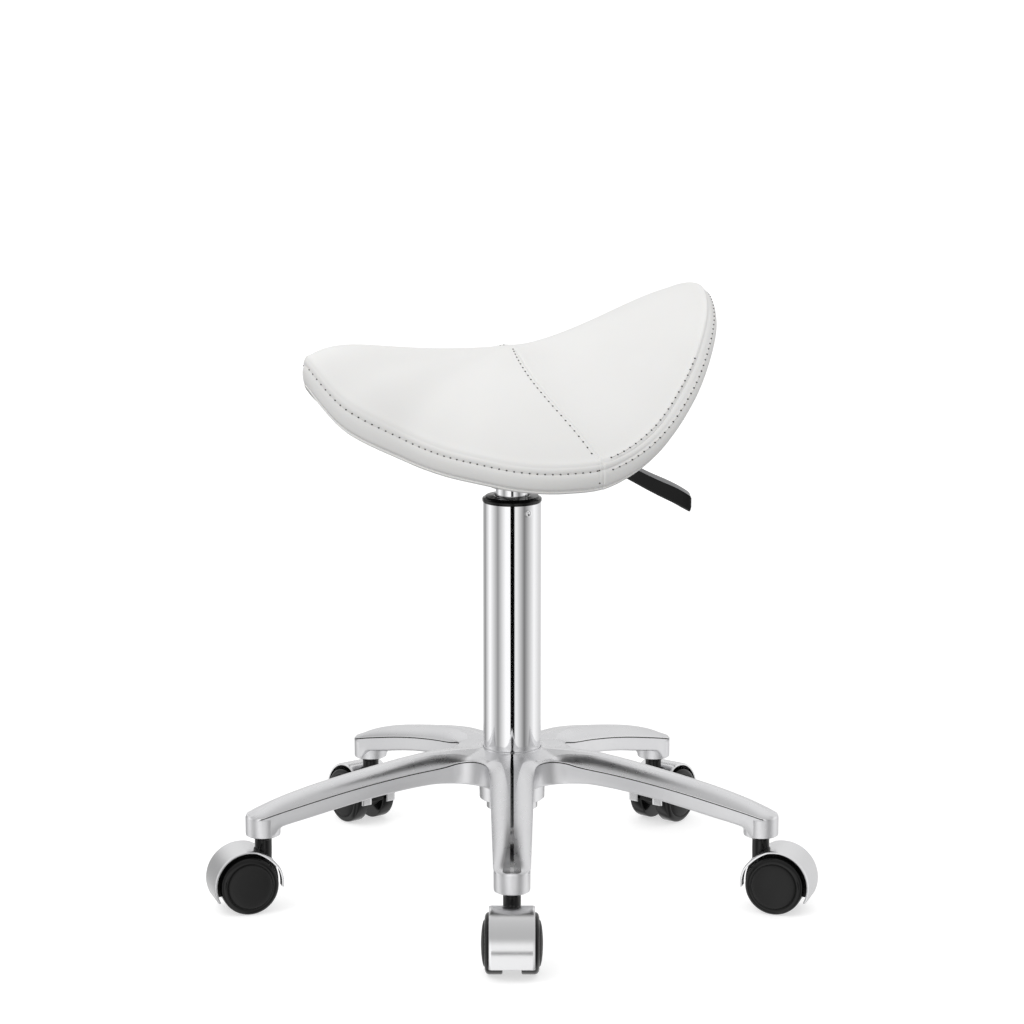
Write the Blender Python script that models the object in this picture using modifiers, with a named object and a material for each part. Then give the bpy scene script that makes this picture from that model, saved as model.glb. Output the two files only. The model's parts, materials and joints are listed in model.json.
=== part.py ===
"""Saddle stool: five-arm cast base on hooded twin-wheel casters, a 50 mm column with a gas lift, and a saddle seat.

Dimensions are stated in millimetres and turned into metres by the small modelling functions below.
The floor is Z = 0 and the column stands upright. One arm of the base points along -Y.
"""
import math

import bmesh
import bpy

MM = 0.001
GAP = 0.3                     # clearance between pieces that touch

# ---- driving dimensions -------------------------------------------------------------------------------------
ARM_COUNT = 5
FIRST_ARM_DEG = -90.0
SEAT_TURN_DEG = 18.0          # how far the pommel is turned towards -Y from the -X direction

WHEEL_R = 25.0                # floor to axle
WHEEL_SIDES = 24
CASTER_R = 223.0              # column axis to stem axis
TRAIL = 16.5                  # stem axis to axle
AXLE_R = 3.0
AXLE_HALF = 18.0
STEM_R = 5.5
STEM_TOP = 81.0
NECK_R = 7.3
HOOD_R = 27.8
HOOD_THICK = 1.6
HOOD_HALF = 18.5
HOOD_START_DEG = -40.0
HOOD_SWEEP_DEG = 220.0
FIN_HALF = 6.4
FIN_CLEARANCE = 5.0

HUB_TOP = 123.4
HUB_BOTTOM = 77.5
BOSS_R = 15.6
BOSS_BOTTOM = 63.7
TIP_R = 15.1
WALL = 4.5

TUBE_R = 25.0
TUBE_BORE = 23.5
TUBE_TOP = 340.0
TUBE_BOTTOM = 69.5
TUBE_FLOOR = 72.5
CYLINDER_R = 14.0
CYLINDER_BOTTOM = 94.0
CYLINDER_TOP = 385.0
TAPER_START = 352.0
TAPER_TOP_R = 13.0
ROD_R = 5.0
TRAVEL = 200.0

BUTTON_R = 3.0
BUTTON_TOP = 391.0
PIVOT_BACK = 22.0             # lever pivot behind the column axis
PIVOT_Z = 395.5
PIN_R = 2.5
NOSE_R = 3.0

PLATE_TOP = 405.0
PLATE_X = 56.0
PLATE_Y = 46.0
TRAY_X = 42.0
TRAY_Y = 30.0
TRAY_FLOOR = 382.0
SHEET = 3.0
BOLT_X = 49.0
BOLT_Y = 38.0
BOLT_R = 3.0

PAN_BOTTOM = PLATE_TOP + GAP
PAN_THICK = 6.0
PAN_FLAT = 0.66               # share of the seat's radius over which the pan is flat
PAN_INSET = 8.0
SEAT_CENTRE_Z = 474.0
BAND = 22.0                   # height of the edge band
COVER = 1.2
FOAM_INSET = 4.0              # outside of the vinyl to the foam
SEAT_SIDES = 30

# Seat edge seam: (angle from the pommel, distance from the centre, height above the floor).
SEAT_EDGE = (
    (0.0, 180.0, 472.0),
    (15.0, 163.0, 441.0),
    (30.0, 133.0, 417.0),
    (45.0, 130.0, 407.0),
    (60.0, 136.0, 402.0),
    (75.0, 142.0, 396.5),
    (90.0, 147.0, 395.0),
    (105.0, 151.0, 399.0),
    (120.0, 160.0, 420.0),
    (135.0, 165.0, 456.0),
    (150.0, 164.0, 490.0),
    (165.0, 163.0, 508.0),
    (180.0, 172.0, 514.0),
)

# The hoods reach HOOD_R beyond the axles. The front caster and the rear pair are set equally far from Y = 0.
AXLE_OUT = CASTER_R + TRAIL
REAR_ARM = math.radians(FIRST_ARM_DEG + 2 * 360.0 / ARM_COUNT)
FRONT_REACH = AXLE_OUT + HOOD_R
REAR_REACH = FRONT_REACH * math.sin(REAR_ARM) + HOOD_HALF * abs(math.cos(REAR_ARM))
COLUMN_Y = (FRONT_REACH - REAR_REACH) / 2.0


# ---- materials ----------------------------------------------------------------------------------------------
# Name: (colour, roughness, metallic).
FINISHES = {
    "cast_aluminium": ((0.58, 0.58, 0.60), 0.28, 1.0),
    "chromed_steel": ((0.80, 0.80, 0.82), 0.08, 1.0),
    "chromed_plastic": ((0.78, 0.78, 0.80), 0.12, 1.0),
    "steel": ((0.50, 0.50, 0.51), 0.35, 1.0),
    "black_steel": ((0.02, 0.02, 0.02), 0.45, 0.0),
    "black_gloss": ((0.008, 0.008, 0.01), 0.15, 0.0),
    "black_plastic": ((0.03, 0.03, 0.03), 0.55, 0.0),
    "black_nylon": ((0.012, 0.012, 0.013), 0.40, 0.0),
    "black_rubber": ((0.02, 0.02, 0.02), 0.80, 0.0),
    "grey_acetal": ((0.40, 0.40, 0.39), 0.45, 0.0),
    "cream_foam": ((0.75, 0.68, 0.50), 0.95, 0.0),
    "white_vinyl": ((0.82, 0.82, 0.81), 0.45, 0.0),
}


def make_material(piece, finish):
    """Gives a piece its own Principled material."""
    colour, roughness, metallic = FINISHES[finish]
    made = bpy.data.materials.new("%s_%s" % (piece.name, finish))
    made.use_nodes = True
    shader = made.node_tree.nodes["Principled BSDF"]
    shader.inputs["Base Color"].default_value = (*colour, 1.0)
    shader.inputs["Roughness"].default_value = roughness
    shader.inputs["Metallic"].default_value = metallic
    piece.data.materials.clear()
    piece.data.materials.append(made)


# ---- scene helpers ------------------------------------------------------------------------------------------
def start_scene():
    for item in list(bpy.data.objects):
        bpy.data.objects.remove(item, do_unlink=True)
    made = []
    for name in ("saddle_stool", "cutters"):
        group = bpy.data.collections.new(name)
        bpy.context.scene.collection.children.link(group)
        made.append(group)
    return made


def add_empty(name, location, parent=None, turn_deg=0.0):
    empty = bpy.data.objects.new(name, None)
    empty.empty_display_size = 0.02
    parts.objects.link(empty)
    empty.parent = parent
    empty.location = [value * MM for value in location]
    empty.rotation_euler.z = math.radians(turn_deg)
    return empty


def add_piece(name, mesh, finish, parent, location=(0.0, 0.0, 0.0), rotation_deg=(0.0, 0.0, 0.0)):
    """Places a mesh under its parent. A piece without a finish is a shape that cuts or joins another one."""
    piece = bpy.data.objects.new(name, mesh)
    piece.parent = parent
    piece.location = [value * MM for value in location]
    piece.rotation_euler = [math.radians(value) for value in rotation_deg]
    if finish is None:
        cutters.objects.link(piece)
        piece.hide_render = True
        piece.display_type = "WIRE"
    else:
        parts.objects.link(piece)
        make_material(piece, finish)
    return piece


def combine(piece, other, operation):
    step = piece.modifiers.new(other.name, "BOOLEAN")
    step.operation = operation
    step.solver = "EXACT"
    step.object = other
    return other


def turned(name, profile, finish, parent, sides, ring=False, sweep_deg=360.0, **place):
    """Piece turned about its local Z from (radius, height) points that run down its outer side."""
    points = [(radius * MM, 0.0, height * MM) for radius, height in profile]
    edges = [(i, i + 1) for i in range(len(points) - 1)]
    if ring:
        edges.append((len(points) - 1, 0))
    mesh = bpy.data.meshes.new(name)
    mesh.from_pydata(points, edges, [])
    piece = add_piece(name, mesh, finish, parent, **place)
    turn = piece.modifiers.new("turn", "SCREW")
    turn.angle = math.radians(sweep_deg)
    turn.steps = sides
    turn.render_steps = sides
    turn.use_merge_vertices = True
    turn.merge_threshold = 0.00001
    turn.use_smooth_shade = True
    return piece


def rod(name, radius, length, finish, parent, sides=16, **place):
    """Plain cylinder centred on its origin, along its local Z."""
    mesh = bpy.data.meshes.new(name)
    shape = bmesh.new()
    bmesh.ops.create_cone(shape, cap_ends=True, segments=sides, radius1=radius * MM, radius2=radius * MM,
                          depth=length * MM)
    shape.to_mesh(mesh)
    shape.free()
    mesh.shade_smooth()
    mesh.set_sharp_from_angle(angle=math.radians(40.0))
    return add_piece(name, mesh, finish, parent, **place)


def box(name, low, high, finish, parent):
    mesh = bpy.data.meshes.new(name)
    shape = bmesh.new()
    bmesh.ops.create_cube(shape, size=1.0)
    bmesh.ops.scale(shape, vec=[(b - a) * MM for a, b in zip(low, high)], verts=shape.verts)
    shape.to_mesh(mesh)
    shape.free()
    return add_piece(name, mesh, finish, parent, location=[(a + b) / 2.0 for a, b in zip(low, high)])


def flat_bar(name, outline, half_width, finish, parent):
    """Flat outline in the local XZ plane, given its width by extruding it both ways along Y."""
    curve = bpy.data.curves.new(name, "CURVE")
    curve.dimensions = "2D"
    curve.fill_mode = "BOTH"
    curve.extrude = half_width * MM
    line = curve.splines.new("POLY")
    line.points.add(len(outline) - 1)
    for point, (x, z) in zip(line.points, outline):
        point.co = (x * MM, z * MM, 0.0, 1.0)
    line.use_cyclic_u = True
    drawn = bpy.data.objects.new(name, curve)
    parts.objects.link(drawn)
    graph = bpy.context.evaluated_depsgraph_get()
    mesh = bpy.data.meshes.new_from_object(drawn.evaluated_get(graph))
    bpy.data.objects.remove(drawn, do_unlink=True)
    shape = bmesh.new()
    shape.from_mesh(mesh)
    bmesh.ops.remove_doubles(shape, verts=shape.verts, dist=0.00001)
    bmesh.ops.recalc_face_normals(shape, faces=shape.faces)
    shape.to_mesh(mesh)
    shape.free()
    mesh.name = name
    return add_piece(name, mesh, finish, parent, rotation_deg=(90.0, 0.0, 0.0))


def loft_mesh(name, sections, poles=None, open_end=False):
    """Mesh through unlike sections with equal point counts, closed by flat ends or by a point at each end."""
    shape = bmesh.new()
    rings = [[shape.verts.new([value * MM for value in point]) for point in section] for section in sections]
    count = len(rings[0])
    for first, second in zip(rings, rings[1:]):
        for k in range(count):
            n = (k + 1) % count
            shape.faces.new((first[k], first[n], second[n], second[k]))
    ends = [rings[0]] if open_end else [rings[0], rings[-1]]
    for i, ring in enumerate(ends):
        if poles is None:
            shape.faces.new(ring)
        else:
            tip = shape.verts.new([value * MM for value in poles[i]])
            for k in range(count):
                shape.faces.new((tip, ring[k], ring[(k + 1) % count]))
    bmesh.ops.recalc_face_normals(shape, faces=shape.faces)
    mesh = bpy.data.meshes.new(name)
    shape.to_mesh(mesh)
    shape.free()
    return mesh


def between(x, stations):
    """Straight-line interpolation through (x, value) stations."""
    if x <= stations[0][0]:
        return stations[0][1]
    for (x0, y0), (x1, y1) in zip(stations, stations[1:]):
        if x <= x1:
            return y0 + (y1 - y0) * (x - x0) / (x1 - x0)
    return stations[-1][1]


# ---- base ---------------------------------------------------------------------------------------------------
# Heights and half-width along an arm, as (distance from the column axis, value).
RIDGE = ((20.0, 124.6), (50.0, 123.8), (76.0, 122.8), (100.0, 119.4), (124.0, 114.7), (152.0, 108.9), (182.0, 101.9),
         (210.0, 93.6), (238.0, 82.6))
CREASE = ((20.0, 122.4), (45.0, 120.4), (60.0, 117.6), (71.0, 115.0), (100.0, 110.8), (129.0, 105.8), (158.0, 99.8),
          (187.0, 92.9), (212.0, 86.6), (238.0, 79.8))
SKIRT = ((20.0, 98.0), (48.0, 97.5), (70.0, 99.4), (82.0, 99.2), (110.0, 95.6), (142.0, 89.6), (187.0, 78.9),
         (206.0, 74.4), (238.0, 67.0))
ARM_HALF = ((20.0, 18.0), (30.0, 23.6), (38.0, 28.8), (42.0, 27.8), (46.0, 24.2), (52.0, 21.0), (60.0, 19.5),
            (90.0, 18.4), (130.0, 17.6), (180.0, 16.4), (210.0, 15.6), (223.0, 15.1))
ARM_STATIONS = (22.0, 30.0, 38.0, 42.0, 46.0, 52.0, 60.0, 76.0, 100.0, 130.0, 165.0, 195.0, 212.0, 223.0, 229.0,
                233.5, 236.5, 238.0)
CHANNEL_STATIONS = (36.0, 66.0, 130.0, 182.0, 201.0)
CHANNEL_HALF_MAX = 14.5
SHOULDER = 0.55               # share of the half-width at which the top turns down
SHOULDER_RISE = 0.74


def arm_half_width(out):
    """Half-width of an arm, rounded off at the tip about the stem axis."""
    half = between(out, ARM_HALF)
    beyond = out - CASTER_R
    if beyond > 0.0:
        half = min(half, math.sqrt(max(TIP_R * TIP_R - beyond * beyond, 12.0)))
    return half


def arm_section(out):
    """Arm section: upright sides under a top that rises from two creases to a ridge."""
    half = arm_half_width(out)
    ridge = between(out, RIDGE)
    crease = between(out, CREASE)
    shoulder = crease + SHOULDER_RISE * (ridge - crease)
    side = [(half, between(out, SKIRT)), (half, crease), (half * SHOULDER, shoulder)]
    return [(out, y, z) for y, z in side + [(0.0, ridge)] + [(-y, z) for y, z in side[::-1]]]


def channel_section(out):
    """Hollow under the arm."""
    half = min(arm_half_width(out) - WALL, CHANNEL_HALF_MAX)
    low = between(out, SKIRT) - 8.0
    high = between(out, CREASE) - 6.0
    return [(out, half, low), (out, half, high), (out, -half, high), (out, -half, low)]


def build_base():
    """Hub with five arms, hollow below, each with a boss and a blind bore for a caster stem."""
    star = turned("base_star", [
        (0.0, HUB_TOP), (27.8, HUB_TOP), (28.8, 119.0), (29.5, 100.0), (29.0, 86.0), (28.2, HUB_BOTTOM),
        (0.0, HUB_BOTTOM),
    ], "cast_aluminium", column, 32)
    arm_mesh = loft_mesh("arm", [arm_section(out) for out in ARM_STATIONS])
    channel_mesh = loft_mesh("channel", [channel_section(out) for out in CHANNEL_STATIONS])
    turns = [FIRST_ARM_DEG + 360.0 / ARM_COUNT * k for k in range(ARM_COUNT)]
    for k, turn_deg in enumerate(turns):
        combine(star, add_piece("arm_%d" % k, arm_mesh, None, column, rotation_deg=(0.0, 0.0, turn_deg)), "UNION")
    for k, turn_deg in enumerate(turns):
        channel = add_piece("channel_%d" % k, channel_mesh, None, column, rotation_deg=(0.0, 0.0, turn_deg))
        combine(star, channel, "DIFFERENCE")
        stem_axis = casters[k]
        boss = turned("boss_%d" % k, [
            (0.0, 77.3), (BOSS_R, 77.3), (BOSS_R, BOSS_BOTTOM + 1.0), (BOSS_R - 0.8, BOSS_BOTTOM), (0.0, BOSS_BOTTOM),
        ], None, stem_axis, 20)
        combine(star, boss, "UNION")
        bore = rod("stem_bore_%d" % k, STEM_R + 2 * GAP + 0.15, 32.0, None, stem_axis, 12, location=(0.0, 0.0, 67.0))
        combine(star, bore, "DIFFERENCE")
    through = rod("column_bore", TUBE_R + GAP, 90.0, None, column, 48, location=(0.0, 0.0, 100.0))
    combine(star, through, "DIFFERENCE")


# ---- column and gas lift ------------------------------------------------------------------------------------
ROUND = 32                    # sides of the column's larger round pieces
SMALL_ROUND = 16


def ring_profile(inner, outer, bottom, top):
    return [(outer, top), (outer, bottom), (inner, bottom), (inner, top)]


def build_column():
    turned("outer_tube", [
        (TUBE_R, TUBE_TOP), (TUBE_R, 84.0), (22.4, 80.0), (22.4, TUBE_BOTTOM), (ROD_R + GAP, TUBE_BOTTOM),
        (ROD_R + GAP, TUBE_FLOOR), (20.9, TUBE_FLOOR), (20.9, 82.0), (TUBE_BORE, 87.0), (TUBE_BORE, TUBE_TOP),
    ], "chromed_steel", column, ROUND, ring=True)
    cap = TUBE_TOP + GAP
    turned("top_cap", [
        (24.0, cap + 5.1), (25.3, cap + 3.3), (25.3, cap), (14.6, cap), (14.6, cap + 4.1), (15.6, cap + 5.1),
    ], "black_gloss", column, ROUND, ring=True)
    turned("guide_sleeve", ring_profile(CYLINDER_R + 2 * GAP, TUBE_BORE - GAP, 300.0, TUBE_TOP), "grey_acetal",
           column, ROUND, ring=True)
    level = TUBE_FLOOR + GAP
    stack = (
        ("lower_thrust_washer", 5.5, 14.0, 1.8, "steel"),
        ("ball_cage", 6.0, 13.2, 3.8, "steel"),
        ("upper_thrust_washer", ROD_R + GAP, 14.0, 1.8, "steel"),
    )
    for name, inner, outer, height, finish in stack:
        turned(name, ring_profile(inner, outer, level, level + height), finish, column, SMALL_ROUND, ring=True)
        level += height + GAP
    turned("rubber_buffer", [
        (11.5, CYLINDER_BOTTOM - GAP), (13.0, level + 6.5), (12.0, level), (ROD_R + GAP, level),
        (ROD_R + GAP, CYLINDER_BOTTOM - GAP),
    ], "black_rubber", column, SMALL_ROUND, ring=True)

    piston_bottom = CYLINDER_BOTTOM + TRAVEL + 5.0
    rod_bottom = 64.4
    turned("piston_rod", [
        (0.0, piston_bottom), (ROD_R, piston_bottom), (ROD_R, rod_bottom + 1.0), (ROD_R - 1.0, rod_bottom),
        (0.0, rod_bottom),
    ], "steel", column, SMALL_ROUND)
    clip_top = TUBE_BOTTOM - GAP
    turned("rod_clip", ring_profile(ROD_R + GAP, 10.0, clip_top - 1.6, clip_top), "steel", column, SMALL_ROUND,
           ring=True)
    rod("piston", 12.2, 8.0, "steel", column, location=(0.0, 0.0, piston_bottom + GAP + 4.0))
    bore = CYLINDER_R - 1.1
    turned("pressure_cylinder", [
        (TAPER_TOP_R, CYLINDER_TOP), (CYLINDER_R, TAPER_START), (CYLINDER_R, CYLINDER_BOTTOM),
        (ROD_R + GAP, CYLINDER_BOTTOM), (ROD_R + GAP, CYLINDER_BOTTOM + 4.0), (bore, CYLINDER_BOTTOM + 4.0),
        (bore, CYLINDER_TOP - 8.0), (BUTTON_R + GAP, CYLINDER_TOP - 8.0), (BUTTON_R + GAP, CYLINDER_TOP),
    ], "chromed_steel", column, ROUND, ring=True)
    turned("valve_button", [
        (0.0, BUTTON_TOP), (BUTTON_R - 0.6, BUTTON_TOP), (BUTTON_R, BUTTON_TOP - 0.6), (BUTTON_R, CYLINDER_TOP - 4.0),
        (0.0, CYLINDER_TOP - 4.0),
    ], "steel", column, SMALL_ROUND)


# ---- seat plate and lever, drawn with local X towards the cantle --------------------------------------------
LEVER_HALF_WIDTH = 7.0
LEVER_HALF_HEIGHT = 3.0
LEVER_END = 122.0
# Lever centre line: (distance towards the cantle, height).
LEVER_LINE = ((-5.0, 397.0), (8.0, 397.0), (30.0, 395.0), (46.0, 390.5), (76.0, 379.0), (90.0, 371.5),
              (LEVER_END, 354.5))
# Handle stations: (distance, top, bottom, half-width).
HANDLE = (
    (90.0, 379.0, 364.0, 9.0),
    (105.0, 370.5, 355.5, 10.0),
    (126.0, 359.8, 344.3, 11.0),
    (145.0, 349.5, 334.5, 11.5),
    (157.0, 342.5, 327.0, 11.0),
    (163.0, 337.8, 323.3, 9.5),
)
HANDLE_CHAMFER = 2.4


def bolt_places():
    return [(sx * BOLT_X, sy * BOLT_Y) for sx in (-1, 1) for sy in (-1, 1)]


def build_seat_plate():
    plate = box("seat_plate", (-PLATE_X, -PLATE_Y, PLATE_TOP - SHEET), (PLATE_X, PLATE_Y, PLATE_TOP), "black_steel",
                seat)
    tray = box("tray", (-TRAY_X - SHEET, -TRAY_Y - SHEET, TRAY_FLOOR), (TRAY_X + SHEET, TRAY_Y + SHEET, PLATE_TOP - 1),
               None, seat)
    combine(plate, tray, "UNION")
    socket = turned("socket", [
        (0.0, TRAY_FLOOR + 2.0), (20.0, TRAY_FLOOR + 2.0), (20.0, TAPER_START + 2.0), (19.0, TAPER_START + 1.0),
        (0.0, TAPER_START + 1.0),
    ], None, seat, ROUND)
    combine(plate, socket, "UNION")
    hollow = box("hollow", (-TRAY_X, -TRAY_Y, TRAY_FLOOR + SHEET), (TRAY_X, TRAY_Y, PLATE_TOP + 5.0), None, seat)
    combine(plate, hollow, "DIFFERENCE")
    slope = (TAPER_TOP_R - CYLINDER_R) / (CYLINDER_TOP - TAPER_START)
    low = TAPER_START - 5.0
    high = CYLINDER_TOP + 5.0
    wide = CYLINDER_R + GAP
    taper = turned("taper", [
        (0.0, high), (wide + slope * (high - TAPER_START), high), (wide, TAPER_START), (wide, low), (0.0, low),
    ], None, seat, ROUND)
    combine(plate, taper, "DIFFERENCE")
    slot = box("lever_slot", (TRAY_X - 1.0, -LEVER_HALF_WIDTH - 1.5, 386.5), (TRAY_X + 6.0, LEVER_HALF_WIDTH + 1.5, 400),
               None, seat)
    combine(plate, slot, "DIFFERENCE")
    across = (90.0, 0.0, 0.0)
    pin_bore = rod("pin_bore", PIN_R + GAP, 2 * TRAY_Y + 12.0, None, lever, rotation_deg=across)
    combine(plate, pin_bore, "DIFFERENCE")
    for k, (x, y) in enumerate(bolt_places()):
        hole = rod("plate_hole_%d" % k, BOLT_R + GAP, 12.0, None, seat, 12, location=(x, y, PLATE_TOP))
        combine(plate, hole, "DIFFERENCE")
        under = PLATE_TOP - SHEET - GAP
        turned("seat_bolt_%d" % (k + 1), [
            (0.0, PAN_BOTTOM + 4.0), (BOLT_R, PAN_BOTTOM + 4.0), (BOLT_R, under), (5.4, under), (5.4, under - 4.0),
            (5.0, under - 4.5), (0.0, under - 4.5),
        ], "steel", seat, 12, location=(x, y, 0.0))
    rod("lever_pivot_pin", PIN_R, 2 * TRAY_Y + 8.0, "steel", lever, rotation_deg=across)


def lever_outline(grow, start, end):
    """Side view of the lever bar between two distances, made thicker by grow all round."""
    stations = [x for x, _ in LEVER_LINE if start < x < end]
    line = [(x, between(x, LEVER_LINE)) for x in [start] + stations + [end]]
    half = LEVER_HALF_HEIGHT + grow
    outline = [(x, z - half) for x, z in line] + [(x, z + half) for x, z in reversed(line)]
    return [(x - PIVOT_BACK, z - PIVOT_Z) for x, z in outline]


def build_lever():
    """Bent bar with a nose over the valve button, turning on a pin through its eye, and a handle on its end."""
    across = (90.0, 0.0, 0.0)
    bar = flat_bar("lever_arm", lever_outline(0.0, LEVER_LINE[0][0], LEVER_END), LEVER_HALF_WIDTH, "steel", lever)
    nose_z = BUTTON_TOP + GAP + NOSE_R - PIVOT_Z
    nose = rod("nose", NOSE_R, 2 * LEVER_HALF_WIDTH - 4.0, None, lever, 12, location=(-PIVOT_BACK, 0.0, nose_z),
               rotation_deg=across)
    combine(bar, nose, "UNION")
    eye = rod("eye", 5.0, 2 * LEVER_HALF_WIDTH - 1.0, None, lever, rotation_deg=across)
    combine(bar, eye, "UNION")
    combine(bar, rod("eye_bore", PIN_R + GAP, 24.0, None, lever, rotation_deg=across), "DIFFERENCE")

    sections = []
    for x, top, bottom, half in HANDLE:
        e = HANDLE_CHAMFER
        corners = [(-half, bottom + e), (-half + e, bottom), (half - e, bottom), (half, bottom + e)]
        corners += [(half, top - e), (half - e, top), (-half + e, top), (-half, top - e)]
        sections.append([(x - PIVOT_BACK, y, z - PIVOT_Z) for y, z in corners])
    handle = add_piece("lever_handle", loft_mesh("lever_handle", sections), "black_gloss", lever)
    pocket = flat_bar("pocket", lever_outline(GAP, HANDLE[0][0] - 10.0, LEVER_END + GAP), LEVER_HALF_WIDTH + GAP, None,
                      lever)
    combine(handle, pocket, "DIFFERENCE")


# ---- seat ---------------------------------------------------------------------------------------------------
def around_edge(angle_deg, column_index):
    """Smooth value of the seat edge at any angle, mirrored about the seat's centre line."""
    angle = abs((angle_deg + 180.0) % 360.0 - 180.0)
    step = SEAT_EDGE[1][0]
    values = [row[column_index] for row in SEAT_EDGE]
    last = len(values) - 1

    def at(i):
        i = abs(i)
        return values[2 * last - i if i > last else i]

    i = min(int(angle // step), last - 1)
    t = angle / step - i
    p0, p1, p2, p3 = at(i - 1), at(i), at(i + 1), at(i + 2)
    return 0.5 * (2 * p1 + (p2 - p0) * t + (2 * p0 - 5 * p1 + 4 * p2 - p3) * t * t
                  + (3 * p1 - p0 - 3 * p2 + p3) * t ** 3)


def edge_radius(angle_deg):
    return around_edge(angle_deg, 1)


def edge_height(angle_deg):
    return around_edge(angle_deg, 2)


def seat_top(share, angle_deg):
    """Height of the saddle at a share of the way from its centre to the edge seam."""
    cosine = math.cos(math.radians(angle_deg))
    back = (0.5 - 0.5 * cosine) ** 2
    front = (0.5 + 0.5 * cosine) ** 2
    ease = 2.5 - 2.25 * back
    rise = share * share * (1.0 + ease) / (share + ease)
    swell = 14.0 + 16.0 * front - 4.0 * back
    level = SEAT_CENTRE_Z + (edge_height(angle_deg) - SEAT_CENTRE_Z) * rise
    return level + swell * share ** 3 * (1.0 - share ** 4)


def pan_height(share, angle_deg):
    """Height of the pan's underside: flat over the plate, then following the seat edge."""
    rim = edge_height(angle_deg) - BAND + 2.5
    rise = max(0.0, (share - PAN_FLAT) / (1.0 - PAN_FLAT)) ** 1.5
    return PAN_BOTTOM + (rim - PAN_BOTTOM) * rise


def seat_ring(radius_of, height_of):
    """One ring round the seat. Both functions take the angle from the pommel in degrees."""
    ring = []
    for k in range(SEAT_SIDES):
        angle = 360.0 * k / SEAT_SIDES
        radius = radius_of(angle)
        ring.append((-radius * math.cos(math.radians(angle)), -radius * math.sin(math.radians(angle)),
                     height_of(angle)))
    return ring


TOP_SHARES = (0.2, 0.45, 0.68, 0.86, 0.96, 1.0)
PAN_SHARES = (0.4, PAN_FLAT, 0.78, 0.88)
# Down the band: (share of its height, distance outside the seam).
BAND_STEPS = ((0.35, 1.6), (0.7, 1.4), (1.0, -0.6))


def top_rings():
    return [
        seat_ring(lambda a, s=share: edge_radius(a) * s, lambda a, s=share: seat_top(s, a))
        for share in TOP_SHARES
    ]


def band_ring(drop, out):
    return seat_ring(lambda a: edge_radius(a) + out, lambda a: edge_height(a) - BAND * drop)


def pan_rings(lift):
    """Rings over the pan from its middle to its rim, raised by lift."""
    rings = [
        seat_ring(lambda a, s=share: edge_radius(a) * s, lambda a, s=share: pan_height(s, a) + lift)
        for share in PAN_SHARES
    ]

    def rim_share(a):
        return 1.0 - PAN_INSET / edge_radius(a)

    rings.append(seat_ring(lambda a: edge_radius(a) - PAN_INSET, lambda a: pan_height(rim_share(a), a) + lift))
    return rings


def triangulate(piece):
    """Splits every four-sided face the same way, so that layers which follow each other stay apart."""
    step = piece.modifiers.new("triangles", "TRIANGULATE")
    step.quad_method = "FIXED"


def build_seat():
    top = (0.0, 0.0, SEAT_CENTRE_Z)
    outside = top_rings() + [band_ring(drop, out) for drop, out in BAND_STEPS]
    cover = add_piece("seat_cover", loft_mesh("seat_cover", outside, [top], open_end=True), "white_vinyl", seat)
    cover.data.shade_smooth()
    triangulate(cover)
    shell = cover.modifiers.new("vinyl", "SOLIDIFY")
    shell.thickness = COVER * MM
    shell.offset = -1.0
    shell.use_even_offset = True

    foam_floor = pan_rings(PAN_THICK * 1.5)
    foam_rings = outside[:len(TOP_SHARES) + 1] + foam_floor[::-1]
    floor_middle = (0.0, 0.0, PAN_BOTTOM + PAN_THICK * 1.5)
    foam = add_piece("foam_cushion", loft_mesh("foam_cushion", foam_rings, [top, floor_middle]), "cream_foam", seat)
    triangulate(foam)
    shrink = foam.modifiers.new("inset", "DISPLACE")
    shrink.direction = "NORMAL"
    shrink.mid_level = 0.0
    shrink.strength = -FOAM_INSET * MM

    middle = (0.0, 0.0, PAN_BOTTOM)
    pan = add_piece("seat_pan", loft_mesh("seat_pan", pan_rings(0.0), [middle], open_end=True), "black_plastic", seat)
    triangulate(pan)
    board = pan.modifiers.new("board", "SOLIDIFY")
    board.thickness = PAN_THICK * MM
    board.offset = -1.0 if pan.data.polygons[0].normal.z < 0.0 else 1.0
    for k, (x, y) in enumerate(bolt_places()):
        hole = rod("pan_hole_%d" % k, BOLT_R + GAP, 9.0, None, seat, 12, location=(x, y, PAN_BOTTOM))
        combine(pan, hole, "DIFFERENCE")


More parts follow.
